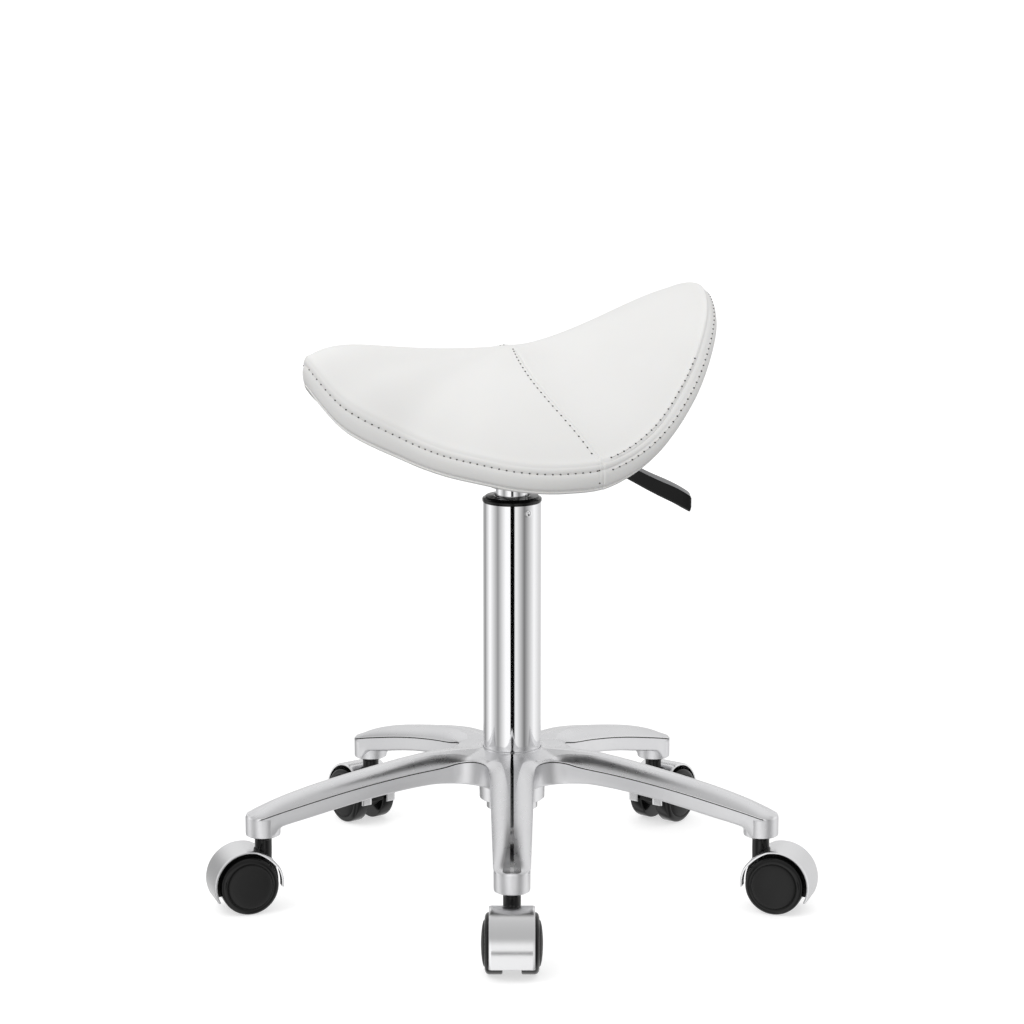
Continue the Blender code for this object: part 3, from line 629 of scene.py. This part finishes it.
# In front of this angle the middle of the hood is open for the neck.
HOOD_OPEN_DEG = HOOD_CREASE_DEG + 9.0
HOOD_HALF_SHARES = (0.3, 0.45, 0.55, 0.72, 0.88, 0.9, 0.985, 1.0)
HOOD_SHARES = tuple(-share for share in reversed(HOOD_HALF_SHARES)) + (0.0,) + HOOD_HALF_SHARES
HOOD_OPEN_SHARE = 0.5
NECK_R = 7.3


def hood_radius(angle_deg):
    """The hood is round from behind, a little flatter in front of its crease."""
    beyond = max(angle_deg - HOOD_CREASE_DEG, 0.0) / (HOOD_FRONT_DEG - HOOD_CREASE_DEG)
    return HOOD_R - HOOD_FLATTENING * math.sin(math.pi * min(beyond * 1.6, 1.0))


def build_hood(number, place, axle_x):
    angles = list(np.arange(HOOD_BACK_DEG, HOOD_FRONT_DEG + 0.1, HOOD_STEP_DEG))
    shell = bmesh.new()
    grid = []
    for angle in angles:
        row = []
        a = math.radians(angle)
        for share in HOOD_SHARES:
            r = hood_radius(angle) - 0.5 * max(abs(share) - 0.9, 0.0) / 0.1
            x = axle_x + r * math.cos(a)
            z = WHEEL_R + r * math.sin(a)
            row.append(shell.verts.new(in_metres(place((x, HOOD_HALF * share, z)))))
        grid.append(row)
    for i in range(len(angles) - 1):
        middle = (angles[i] + angles[i + 1]) / 2.0
        for j in range(len(HOOD_SHARES) - 1):
            across = abs(HOOD_SHARES[j] + HOOD_SHARES[j + 1]) / 2.0
            if middle > HOOD_OPEN_DEG and across < HOOD_OPEN_SHARE:
                continue
            face = shell.faces.new((grid[i][j], grid[i][j + 1], grid[i + 1][j + 1], grid[i + 1][j]))
            face.smooth = True
    loose = [v for v in shell.verts if not v.link_faces]
    bmesh.ops.delete(shell, geom=loose, context="VERTS")
    bmesh.ops.recalc_face_normals(shell, faces=shell.faces)
    mesh = bpy.data.meshes.new("hood")
    shell.to_mesh(mesh)
    shell.free()
    mesh.materials.append(HOOD_CHROME)
    hood = bpy.data.objects.new("caster_%d_chrome_hood" % number, mesh)
    bpy.context.scene.collection.objects.link(hood)
    first = mesh.polygons[0]
    from_axle = Vector(first.center) - Vector(centre("caster_%d_axle" % number)) * MM
    towards_axle = first.normal.dot(from_axle) < 0.0
    thick = hood.modifiers.new("thickness", "SOLIDIFY")
    thick.thickness = HOOD_THICK * MM
    thick.offset = 1.0 if towards_axle else -1.0
    edge = hood.modifiers.new("edges", "BEVEL")
    edge.width = 0.35 * MM
    edge.segments = 2
    edge.limit_method = "ANGLE"
    edge.angle_limit = math.radians(50.0)
    apply_modifiers(hood)
    hood.data.shade_smooth()
    hood.data.set_sharp_from_angle(angle=math.radians(40.0))
    finish_piece(hood, "caster_%d" % number, "caster_%d_hood" % number)


def apply_modifiers(part):
    bpy.context.view_layer.update()
    graph = bpy.context.evaluated_depsgraph_get()
    mesh = bpy.data.meshes.new_from_object(part.evaluated_get(graph))
    part.modifiers.clear()
    part.data = mesh


def around_axle(profile, axle_x, segments, side, place):
    """Rings of a piece turned about the axle from (radius, distance along the axle) points."""
    rings = []
    for r, y in profile:
        ring = []
        for k in range(segments):
            a = TAU * k / segments
            ring.append(place((axle_x + r * math.cos(a), side * y, WHEEL_R + r * math.sin(a))))
        rings.append(ring)
    return rings


# Wheel from its blind bore round the tread to the dished face: (radius, distance along the axle).
WHEEL_PROFILE = (
    (3.1, 18.0), (3.1, 7.6), (12.0, 7.6), (23.6, 7.5), (24.6, 7.8), (25.0, 8.6), (25.0, 18.2),
    (24.8, 19.3), (24.3, 20.3), (23.4, 21.1), (22.2, 21.7), (21.0, 22.0), (20.2, 21.9), (19.8, 21.5),
    (19.4, 21.4), (19.1, 21.8), (18.6, 22.5), (17.6, 23.1), (14.0, 24.0), (9.0, 24.6), (4.0, 24.9),
)
WHEEL_SEGMENTS = 96
# The first of its rings are the glossy tyre, the rest the satin face.
RIM_RINGS = 13
TYRE_FACE, DISC_FACE = range(2)


def build_wheel(number, name, side, place, axle_x):
    rings = around_axle(WHEEL_PROFILE, axle_x, WHEEL_SEGMENTS, side, place)
    points, faces = skin_rings(rings, start_pole=place((axle_x, side * 18.0, WHEEL_R)),
                               end_pole=place((axle_x, side * 25.0, WHEEL_R)))
    bore_bottom = len(rings) - 1
    indices = []
    for i in range(len(faces)):
        ring = i // WHEEL_SEGMENTS
        indices.append(TYRE_FACE if ring < RIM_RINGS or ring == bore_bottom else DISC_FACE)
    wheel = new_object("caster_%d_%s_tyre" % (number, name), points, faces, [GLOSS_BLACK, SATIN_BLACK],
                       indices, sharp_deg=50.0)
    finish_piece(wheel, "caster_%d_%s_wheel" % (number, name), "caster_%d_wheel_%s" % (number, name))


FIN_R = HOOD_R - HOOD_THICK - 0.4
FIN_STEPS = 80
FIN_BACK_DEG = -24.0
FIN_SWEEP_DEG = 207.0
# Lower edge of the fin, measured from the axle, and its rounded sides: (across, share of the outline).
FIN_FOOT = ((-23.0, -4.0), (-16.0, -9.0), (-4.0, -10.5), (8.0, -10.5))
FIN_SIDES = ((-6.4, 0.965), (-6.0, 0.985), (-5.2, 1.0), (5.2, 1.0), (6.0, 0.985), (6.4, 0.965))


def build_fin(number, place, axle_x):
    """Black body between the wheels, with the neck that holds the stem."""
    outline = []
    for k in range(FIN_STEPS + 1):
        a = math.radians(FIN_BACK_DEG + FIN_SWEEP_DEG * k / FIN_STEPS)
        outline.append((axle_x + FIN_R * math.cos(a), WHEEL_R + FIN_R * math.sin(a)))
    outline += [(axle_x + x, WHEEL_R + z) for x, z in FIN_FOOT]
    rings = []
    for y, share in FIN_SIDES:
        rings.append([place((axle_x + (x - axle_x) * share, y, WHEEL_R + (z - WHEEL_R) * share))
                      for x, z in outline])
    points, faces = skin_rings(rings)
    fin = new_object("caster_%d_fin" % number, points, faces, [SATIN_BLACK])
    finish_piece(fin, "caster_%d" % number, "caster_%d_body" % number)
    top = corners("caster_%d_body" % number)[1][2]
    neck = turned_piece("caster_%d_neck" % number, [
        (NECK_R - 0.2, 40.0), (NECK_R, 52.0), (NECK_R, top - 3.0), (NECK_R + 0.5, top - 2.4),
        (NECK_R + 0.5, top - 0.7), (NECK_R, top), (5.6, top), (5.6, top - 3.0),
    ], GLOSS_BLACK, "caster_%d" % number, mid=(CASTER_R, 0.0), place=place, segments=48)


def build_casters():
    axle_x = CASTER_R + TRAIL
    for index in range(CASTER_COUNT):
        number = index + 1
        place = turned(FIRST_ARM_DEG + ARM_STEP_DEG * index)
        build_hood(number, place, axle_x)
        build_fin(number, place, axle_x)
        build_wheel(number, "left", 1.0, place, axle_x)
        build_wheel(number, "right", -1.0, place, axle_x)


# ---- seat --------------------------------------------------------------------------------------------------
SEAT_CENTRE_Z = 474.0
BAND = 22.0
# Seat edge seam: (angle from the pommel, distance from the centre, height above the floor).
SEAT_EDGE = (
    (0.0, 180.0, 472.0), (15.0, 163.0, 441.0), (30.0, 133.0, 417.0), (45.0, 130.0, 407.0),
    (60.0, 136.0, 402.0), (75.0, 142.0, 396.5), (90.0, 147.0, 395.0), (105.0, 151.0, 399.0),
    (120.0, 157.5, 420.0), (135.0, 162.5, 456.0), (150.0, 165.0, 491.0), (165.0, 166.5, 512.5),
    (180.0, 168.5, 520.5),
)


def signed_angle(angle_deg):
    """Angle from the pommel, -180 to 180."""
    return (angle_deg + 180.0) % 360.0 - 180.0


def fold_angle(angle_deg):
    """Angle from the pommel on either side, 0 to 180."""
    return abs(signed_angle(angle_deg))


def around_edge(angle_deg, column):
    """Smooth value of the seat edge at any angle, mirrored about the seat's centre line."""
    angle = fold_angle(angle_deg)
    step = SEAT_EDGE[1][0]
    values = [row[column] for row in SEAT_EDGE]
    last = len(values) - 1

    def at(i):
        i = abs(i)
        return values[2 * last - i if i > last else i]

    i = min(int(angle // step), last - 1)
    t = angle / step - i
    p0, p1, p2, p3 = at(i - 1), at(i), at(i + 1), at(i + 2)
    return 0.5 * (2 * p1 + (p2 - p0) * t + (2 * p0 - 5 * p1 + 4 * p2 - p3) * t * t
                  + (3 * p1 - p0 - 3 * p2 + p3) * t ** 3)


def edge_radius(angle_deg):
    return around_edge(angle_deg, 1)


def edge_height(angle_deg):
    return around_edge(angle_deg, 2)


def seat_top(s, angle_deg):
    """Height of the vinyl top at a fraction s of the way from the centre to the edge seam."""
    cosine = math.cos(math.radians(angle_deg))
    back = (0.5 - 0.5 * cosine) ** 2
    front = (0.5 + 0.5 * cosine) ** 2
    ease = 2.5 + (0.25 - 2.5) * back
    share = s * s * (1.0 + ease) / (s + ease)
    swell = 14.0 + 16.0 * front - 4.0 * back
    return SEAT_CENTRE_Z + (edge_height(angle_deg) - SEAT_CENTRE_Z) * share + swell * s ** 3 * (1.0 - s ** 4)


def pan_height(s, angle_deg):
    edge = edge_height(angle_deg) - BAND + 2.5
    share = max(0.0, (s - 0.66) / 0.34) ** 1.5
    return PAN_BOTTOM + (edge - PAN_BOTTOM) * share


def seat_point(angle_deg, r, z):
    """Point of the seat in the column frame: angle 0 is the pommel."""
    a = math.radians(angle_deg)
    return turned(CANTLE_DEG)((-r * math.cos(a), -r * math.sin(a), z))


# Down the edge band: (drop below the seam, distance outside it in front of the cross seam, and behind it).
# The front has a stitched strip under the seam fold, the back rolls outwards round a thicker pad.
BAND_PROFILE = (
    (0.35, 0.10, -1.70), (0.8, 0.45, -1.90), (1.4, 0.80, -0.20), (2.4, 1.10, 1.50), (3.6, 1.25, 2.75),
    (4.6, 1.15, 3.55), (5.2, 0.90, 3.85), (5.8, 1.25, 4.45), (7.5, 1.90, 5.50), (10.5, 2.20, 6.70),
    (14.0, 2.00, 7.20), (17.0, 1.50, 6.60), (18.6, 1.00, 5.70), (19.4, -0.25, 4.50), (19.8, -0.35, 4.00),
    (20.4, 0.70, 3.90), (21.2, 0.60, 2.40), (22.0, -0.60, 0.00),
)
STITCH_DROP = 5.2
# The band is deeper round the pommel, and shallower just beyond it on one side: (share, angle, spread).
POMMEL_DEEPER = (0.26, 0.0, 34.0)
FAR_SHALLOWER = (0.48, -15.0, 12.0)
# Rounded fold on the top panel beside the seam: (fraction of the way out, lift in front, lift behind).
FOLD_PROFILE = (
    (0.962, 0.0, 0.0), (0.974, 0.15, 0.25), (0.982, 0.45, 0.60), (0.989, 0.80, 0.85), (0.995, 0.80, 0.55),
    (1.0, 0.0, -1.60),
)
CROSS_SEAM_DEG = 101.5
REAR_BLEND_DEG = 34.0
CROSS_STITCH = 3.4
CROSS_BOW = 16.0
BOW_SPREAD_DEG = 20.0
# Height across the cross seam: (distance behind it, lift).
CROSS_PROFILE = (
    (-9.0, 0.0), (-4.6, 0.0), (-3.4, -0.35), (-2.4, 0.0), (-1.4, 0.0), (-0.5, -0.25), (-0.05, -0.7),
    (0.35, 0.55), (1.1, 0.95), (2.0, 0.85), (3.6, 0.35), (6.5, 0.0), (9.0, 0.0),
)


def rear_share(angle_deg):
    """0 in front of the cross seam, rising to 1 over the rear panel."""
    t = min(max((fold_angle(angle_deg) - CROSS_SEAM_DEG) / REAR_BLEND_DEG, 0.0), 1.0)
    return t * t * (3.0 - 2.0 * t)


def blended(profile, at, rear):
    """Value of a (station, front, rear) profile, blended from its front column to its rear column."""
    stations, fronts, rears = zip(*profile)
    front = float(np.interp(at, stations, fronts))
    return front + (float(np.interp(at, stations, rears)) - front) * rear


def cross_lift(angle_deg, r):
    """Lift beside the cross seam, fading out towards the middle of the seat."""
    behind = math.radians(fold_angle(angle_deg) - CROSS_SEAM_DEG) * r
    distances, lifts = zip(*CROSS_PROFILE)
    return float(np.interp(behind, distances, lifts)) * min(r / 30.0, 1.0)


def bowed(angle_deg, s):
    """Angle moved with the cross seam, which bows towards the pommel between the ridge and the edge."""
    away = (fold_angle(angle_deg) - CROSS_SEAM_DEG) / BOW_SPREAD_DEG
    shift = math.degrees(CROSS_BOW * math.sin(math.pi * min(s, 1.0)) / (edge_radius(CROSS_SEAM_DEG) * s))
    side = 1.0 if (angle_deg % 360.0) < 180.0 else -1.0
    return angle_deg - side * shift * math.exp(-away * away)


def top_point(angle, s):
    """Point on the sewn top panel, with the fold along its edge and the cross seam."""
    bow = bowed(angle, s)
    r = edge_radius(bow) * s
    lift = blended(FOLD_PROFILE, s, rear_share(angle))
    return seat_point(bow, r, seat_top(s, bow) + lift + cross_lift(angle, r))


def near(angle_deg, share, middle, spread):
    """A share that fades away on both sides of an angle."""
    return share * math.exp(-((signed_angle(angle_deg) - middle) / spread) ** 2)


def band_point(angle, drop):
    """Point on the edge band, a distance below the seam."""
    out = blended(BAND_PROFILE, drop, rear_share(angle))
    r = edge_radius(angle)
    deep = 1.0 + near(angle, *POMMEL_DEEPER) - near(angle, *FAR_SHALLOWER)
    return seat_point(angle, r + out + 0.8 * cross_lift(angle, r), edge_height(angle) - drop * deep)


def seat_angles():
    """Angles round the seat, closer together at the two cross seams."""
    angles = [1.5 * k for k in range(240)]
    fine = np.arange(-4.0, 4.01, 0.16)
    for middle in (CROSS_SEAM_DEG, 360.0 - CROSS_SEAM_DEG):
        angles = [a for a in angles if abs(a - middle) > 4.2]
        angles += [middle + step for step in fine]
    return sorted(angles)


# Under the band: (share of the edge radius, inset, lift above the seat shell's underside).
TUCK_RINGS = ((1.0, 4.0, -1.2), (0.95, 0.0, -1.3), (0.93, 0.0, -1.4), (0.93, 0.5, 2.0), (0.5, 0.0, 6.0))
SHELL_SHARES = (0.08, 0.25, 0.4, 0.55, 0.66) + tuple(np.linspace(0.7, 0.94, 8))
SHELL_THICK = 6.5


def build_seat():
    angles = seat_angles()
    rings = []
    for s in list(np.linspace(0.02, 0.95, 46)) + [f[0] for f in FOLD_PROFILE]:
        rings.append([top_point(a, s) for a in angles])
    for row in BAND_PROFILE:
        rings.append([band_point(a, row[0]) for a in angles])
    for share, inset, lift in TUCK_RINGS:
        rings.append([seat_point(a, edge_radius(a) * share - inset, pan_height(share, a) + lift)
                      for a in angles])
    points, faces = skin_rings(rings, start_pole=(0.0, 0.0, SEAT_CENTRE_Z),
                               end_pole=(0.0, 0.0, PAN_BOTTOM + 6.0))
    cushion = new_object("saddle_cushion", points, faces, [VINYL], sharp_deg=60.0)
    finish_piece(cushion, "seat", ["seat_cover", "foam_cushion"])

    build_stitches()

    rings = []
    for shares, lift in ((SHELL_SHARES, SHELL_THICK), (SHELL_SHARES[::-1], 0.0)):
        for s in shares:
            rings.append([seat_point(a, edge_radius(a) * s, pan_height(s, a) + lift) for a in angles[::3]])
    points, faces = skin_rings(rings, start_pole=(0.0, 0.0, PAN_BOTTOM + SHELL_THICK),
                               end_pole=(0.0, 0.0, PAN_BOTTOM))
    pan = new_object("seat_shell", points, faces, [PAN_PLASTIC])
    finish_piece(pan, "seat", "seat_pan")


STITCH_PITCH = 6.2
THREAD_R = 0.42
HOLE_R = 0.80
# Points far below and above the seat, from which the outward direction of its skin is taken.
BELOW_SEAT = (0.0, 0.0, SEAT_CENTRE_Z - 130.0)
ABOVE_SEAT = (0.0, 0.0, SEAT_CENTRE_Z + 260.0)


def walk(path, start, end, pitch):
    """Points at an equal pitch along a path given as a function of one value."""
    count = 600
    dense = [np.array(path(start + (end - start) * k / count)) for k in range(count + 1)]
    run = np.concatenate(([0.0], np.cumsum([np.linalg.norm(b - a) for a, b in zip(dense, dense[1:])])))
    steps = max(int(run[-1] // pitch), 1)
    places = np.linspace(0.5 * pitch, run[-1] - 0.5 * pitch, steps)
    return [np.array([np.interp(d, run, [p[i] for p in dense]) for i in range(3)]) for d in places]


def outward(point, inner):
    away = np.array(point) - np.array(inner)
    return away / max(np.linalg.norm(away), 1e-6)


def capsule(start, end, radius, sides=6):
    """Rings of one short thread, rounded towards its ends."""
    axis = (end - start) / np.linalg.norm(end - start)
    side = np.cross(axis, (0.0, 0.0, 1.0) if abs(axis[2]) < 0.9 else (1.0, 0.0, 0.0))
    side = side / np.linalg.norm(side)
    up = np.cross(axis, side)
    rings = []
    for share, thick in ((0.0, 0.35), (0.12, 0.85), (0.5, 1.1), (0.88, 0.85), (1.0, 0.35)):
        mid = start + (end - start) * share
        ring = []
        for k in range(sides):
            a = TAU * k / sides
            ring.append(tuple(mid + radius * thick * (math.cos(a) * side + math.sin(a) * up)))
        rings.append(ring)
    return rings


def seam_rows(side):
    """Rows of stitching on one side: (path, start, end, point they face away from or towards, sign)."""
    seam_r = edge_radius(CROSS_SEAM_DEG)

    def front_band(a):
        return band_point(side * a, STITCH_DROP)

    def rear_band(a):
        return band_point(side * a, 7.4 - 2.2 * rear_share(a) * max(a - 140.0, 0.0) / 40.0)

    def rear_edge(a):
        return top_point(side * a, 1.0 - 1.1 / edge_radius(a))

    def cross_top(s):
        return top_point(side * (CROSS_SEAM_DEG - math.degrees(CROSS_STITCH / (seam_r * s))), s)

    def cross_band(drop):
        return band_point(side * (CROSS_SEAM_DEG - math.degrees(CROSS_STITCH / seam_r)), drop)

    return (
        (front_band, 2.0, CROSS_SEAM_DEG - 0.8, BELOW_SEAT, 1.0),
        (rear_band, CROSS_SEAM_DEG + 2.0, 179.0, BELOW_SEAT, 1.0),
        (rear_edge, CROSS_SEAM_DEG + 2.2, 142.0, ABOVE_SEAT, -1.0),
        (cross_top, 0.07, 0.965, ABOVE_SEAT, -1.0),
        (cross_band, 2.0, 18.5, BELOW_SEAT, 1.0),
    )


def add_capsule(points, faces, start, end, radius):
    more_points, more_faces = skin_rings(capsule(start, end, radius))
    faces.extend(tuple(len(points) + v for v in face) for face in more_faces)
    points.extend(more_points)


def build_stitches():
    """Thread along the seams, and near-black capsules at the needle holes as painted shade, on both sides of
    the seat.
    """
    half_hole = np.array((0.0, 0.0, HOLE_R)) * 0.7
    threads, thread_faces, holes, hole_faces = [], [], [], []
    for path, start, end, hub, sign in seam_rows(1.0) + seam_rows(-1.0):
        places = walk(path, start, end, STITCH_PITCH)
        for i, spot in enumerate(places):
            raised = spot + outward(spot, hub) * sign * 0.05
            # A near-black capsule at each needle hole, painted shade inside the hole.
            add_capsule(holes, hole_faces, raised - half_hole, raised + half_hole, HOLE_R)
            if i + 1 < len(places):
                along = places[i + 1] - spot
                gap = HOLE_R * 1.1 / np.linalg.norm(along)
                add_capsule(threads, thread_faces, spot + along * gap, places[i + 1] - along * gap, THREAD_R)
    finish_piece(new_object("seat_threads", threads, thread_faces, [THREAD]), "seat")
    finish_piece(new_object("seat_stitch_hole_shade", holes, hole_faces, [STITCH_HOLE_SHADE]), "seat")


# ---- lever -------------------------------------------------------------------------------------------------
# Paddle stations: (distance towards the cantle, top, bottom, half-width).
PADDLE = (
    (88.0, 378.2, 363.4, 8.0), (97.0, 372.6, 357.4, 9.0), (108.0, 366.9, 351.2, 9.8),
    (128.0, 356.5, 339.6, 10.5), (146.0, 348.0, 330.2, 11.0), (155.0, 342.7, 325.0, 11.0),
    (160.0, 339.0, 322.4, 10.4), (161.0, 337.6, 325.0, 9.4),
)
PADDLE_EDGE = 1.6
CHAMFER_DROP = 3.2
CHAMFER_WIDTH = 4.5
CHAMFER_SIDES = (4, 6)


def build_lever():
    place = turned(CANTLE_DEG)
    rings = []
    for x in np.linspace(PADDLE[0][0], PADDLE[-1][0], 60):
        top, bottom, half = (smooth_curve(x, [(p[0], p[c]) for p in PADDLE]) for c in (1, 2, 3))
        rings.append([place((x, y, z)) for y, z in (
            (-half, bottom + PADDLE_EDGE), (-half + PADDLE_EDGE, bottom),
            (half - PADDLE_EDGE, bottom), (half, bottom + PADDLE_EDGE),
            (half, top - CHAMFER_DROP), (half - CHAMFER_WIDTH, top),
            (-half + CHAMFER_WIDTH, top), (-half, top - CHAMFER_DROP),
        )])
    points, faces = skin_rings(rings)
    sides = len(rings[0])
    # The two top chamfers take the grey, a painted highlight.
    indices = [int(i < len(faces) - 2 and i % sides in CHAMFER_SIDES) for i in range(len(faces))]
    paddle = new_object("lever_paddle", points, faces, [LEVER_BLACK, LEVER_CHAMFER_HIGHLIGHT], indices, sharp_deg=25.0)
    finish_piece(paddle, "lever", "lever_handle")


# ---- light, floor and camera -------------------------------------------------------------------------------
CAMERA_DISTANCE = 2.7395
CAMERA_HEIGHT = 0.8783
CAMERA_PITCH_DEG = 11.312
CAMERA_LENS = 114.6
WORLD_STRENGTH = 1.25
# Cycles counts a first reflection as ray depth 2, so above this a ray has been reflected twice.
TWICE_REFLECTED = 2.5


def at_degrees(turn):
    return 0.5 + turn / 360.0


# Brightness of the studio wall at each bearing from the camera's side, positive towards +X.
STRIPS = tuple((at_degrees(turn), value) for turn, value in (
    (-180.0, 0.60), (-158.0, 0.60), (-135.0, 0.24), (-98.0, 0.97), (-58.0, 0.28), (-25.0, 0.95), (-7.0, 0.95),
    (10.5, 0.74), (19.0, 0.79), (50.0, 0.18), (98.0, 0.90), (135.0, 0.62), (160.0, 0.58), (180.0, 0.60),
))
# Two narrow black strips: on the camera's side for the tube, and behind for the front arm's ridge.
FRONT_LINE = tuple((at_degrees(turn), value) for turn, value in (
    (-180.0, 1.0), (-6.8, 1.0), (-6.0, 0.0), (9.6, 0.0), (10.4, 1.0), (180.0, 1.0),
))
BACK_LINE = tuple((at_degrees(turn), value) for turn, value in (
    (-180.0, 0.0), (-176.5, 0.0), (-175.5, 1.0), (175.5, 1.0), (176.5, 0.0), (180.0, 0.0),
))
# Along the height, straight down to straight up: where each strip, the ceiling and the soft light reach.
FRONT_LINE_HEIGHT = ((0.0, 1.0), (0.345, 1.0), (0.355, 0.0), (0.425, 0.0), (0.435, 1.0), (1.0, 1.0))
FRONT_LINE_SECOND = ((0.0, 1.0), (0.50, 1.0), (0.52, 0.0), (0.97, 0.0), (0.99, 1.0), (1.0, 1.0))
BACK_LINE_HEIGHT = ((0.0, 1.0), (0.74, 1.0), (0.76, 0.0), (0.965, 0.0), (0.98, 1.0), (1.0, 1.0))
CEILING_SHARE = ((0.0, 0.0), (0.60, 0.0), (0.74, 1.0), (1.0, 1.0))
CEILING = ((0.0, 0.42), (0.25, 0.46), (0.5, 0.52), (0.72, 0.68), (1.0, 0.74))
SOFT_LIGHT = ((0.0, 0.30), (0.35, 0.46), (0.5, 0.70), (0.7, 0.90), (1.0, 0.93))


def build_world():
    """Soft white studio. Upright dark and bright strips in it give the chrome its streaks."""
    world = bpy.data.worlds.new("studio")
    bpy.context.scene.world = world
    world.use_nodes = True
    tree = world.node_tree
    tree.nodes.clear()

    def add(kind, **settings):
        node = tree.nodes.new(kind)
        for key, value in settings.items():
            setattr(node, key, value)
        return node

    def ramp(source, stops):
        node = add("ShaderNodeValToRGB")
        tree.links.new(source, node.inputs["Fac"])
        set_stops(node, stops)
        return node.outputs["Color"]

    def unit(source, low, high):
        node = add("ShaderNodeMapRange")
        node.inputs["From Min"].default_value = low
        node.inputs["From Max"].default_value = high
        tree.links.new(source, node.inputs["Value"])
        return node.outputs["Result"]

    def mixed(blend, factor, a, b):
        node = add("ShaderNodeMix", data_type="RGBA", blend_type=blend, clamp_result=True)
        if isinstance(factor, float):
            node.inputs["Factor"].default_value = factor
        else:
            tree.links.new(factor, node.inputs["Factor"])
        tree.links.new(a, node.inputs["A"])
        tree.links.new(b, node.inputs["B"])
        return node.outputs["Result"]

    def background(colour, strength=1.0):
        node = add("ShaderNodeBackground")
        node.inputs["Strength"].default_value = strength
        if colour is not None:
            tree.links.new(colour, node.inputs["Color"])
        else:
            node.inputs["Color"].default_value = (1.0, 1.0, 1.0, 1.0)
        return node.outputs[0]

    def choose(chooser, a, b):
        node = add("ShaderNodeMixShader")
        tree.links.new(chooser, node.inputs[0])
        tree.links.new(a, node.inputs[1])
        tree.links.new(b, node.inputs[2])
        return node.outputs[0]

    place = add("ShaderNodeTexCoord")
    split = add("ShaderNodeSeparateXYZ")
    tree.links.new(place.outputs["Generated"], split.inputs[0])
    towards = add("ShaderNodeMath", operation="MULTIPLY")
    towards.inputs[1].default_value = -1.0
    tree.links.new(split.outputs["Y"], towards.inputs[0])
    turn = add("ShaderNodeMath", operation="ARCTAN2")
    tree.links.new(split.outputs["X"], turn.inputs[0])
    tree.links.new(towards.outputs[0], turn.inputs[1])
    bearing = unit(turn.outputs[0], -math.pi, math.pi)
    height = unit(split.outputs["Z"], -1.0, 1.0)
    depth = unit(split.outputs["Y"], -1.0, 1.0)
    walls = ramp(bearing, STRIPS)
    rays = add("ShaderNodeLightPath")
    second = add("ShaderNodeMath", operation="GREATER_THAN")
    second.inputs[1].default_value = TWICE_REFLECTED
    tree.links.new(rays.outputs["Ray Depth"], second.inputs[0])
    reach = mixed("MIX", second.outputs[0], ramp(height, FRONT_LINE_HEIGHT), ramp(height, FRONT_LINE_SECOND))
    front_line = mixed("ADD", 1.0, ramp(bearing, FRONT_LINE), reach)
    back_line = mixed("ADD", 1.0, ramp(bearing, BACK_LINE), ramp(height, BACK_LINE_HEIGHT))
    studio = mixed("MIX", ramp(height, CEILING_SHARE), walls, ramp(depth, CEILING))
    studio = mixed("MULTIPLY", 1.0, studio, front_line)
    studio = mixed("MULTIPLY", 1.0, studio, back_line)
    seen = choose(rays.outputs["Is Diffuse Ray"], background(studio, WORLD_STRENGTH),
                  background(ramp(height, SOFT_LIGHT)))
    seen = choose(rays.outputs["Is Camera Ray"], seen, background(None))
    out = add("ShaderNodeOutputWorld")
    tree.links.new(seen, out.inputs["Surface"])


def set_stops(ramp, stops):
    """Grey stops of a colour ramp: (position, value)."""
    elements = ramp.color_ramp.elements
    while len(elements) > 1:
        elements.remove(elements[-1])
    for i, (position, value) in enumerate(stops):
        element = elements[0] if i == 0 else elements.new(position)
        element.position = position
        element.color = (value, value, value, 1.0)


FLOOR_HALF = 60.0
FLOOR_DROP = 0.0002


def build_floor():
    mesh = bpy.data.meshes.new("floor")
    corner_signs = ((-1.0, -1.0), (1.0, -1.0), (1.0, 1.0), (-1.0, 1.0))
    mesh.from_pydata([(x * FLOOR_HALF, y * FLOOR_HALF, 0.0) for x, y in corner_signs], [], [(0, 1, 2, 3)])
    floor = bpy.data.objects.new("floor", mesh)
    bpy.context.scene.collection.objects.link(floor)
    n = Nodes("pale_floor")
    n.set(Base_Color=(0.62, 0.62, 0.62, 1.0), Roughness=0.6, Specular_IOR_Level=0.1)
    n.set(Emission_Color=(1.0, 1.0, 1.0, 1.0), Emission_Strength=0.6)
    mesh.materials.append(n.material)
    floor.location.z = -FLOOR_DROP
    floor.visible_glossy = False
    floor.visible_diffuse = False


def add_area(name, location, target, size, energy):
    lamp = bpy.data.lights.new(name, "AREA")
    lamp.energy = energy
    lamp.shape = "RECTANGLE"
    lamp.size, lamp.size_y = size
    item = bpy.data.objects.new(name, lamp)
    bpy.context.scene.collection.objects.link(item)
    item.location = location
    item.visible_glossy = False
    item.rotation_euler = (Vector(target) - Vector(location)).to_track_quat("-Z", "Y").to_euler()


def build_camera():
    data = bpy.data.cameras.new("camera")
    data.lens = CAMERA_LENS
    data.sensor_width = 36.0
    camera = bpy.data.objects.new("camera", data)
    bpy.context.scene.collection.objects.link(camera)
    camera.location = (COLUMN_X * MM, COLUMN_Y * MM - CAMERA_DISTANCE, CAMERA_HEIGHT)
    camera.rotation_euler = (math.radians(90.0 - CAMERA_PITCH_DEG), 0.0, 0.0)
    data.clip_end = 200.0
    bpy.context.scene.camera = camera


build_base()
build_column()
build_casters()
build_seat()
build_lever()
build_world()
build_floor()
add_area("key", (-1.6, -1.4, 2.6), (0.0, 0.0, 0.3), (1.6, 1.6), 22.0)
build_camera()
bpy.context.scene.view_settings.view_transform = "Standard"
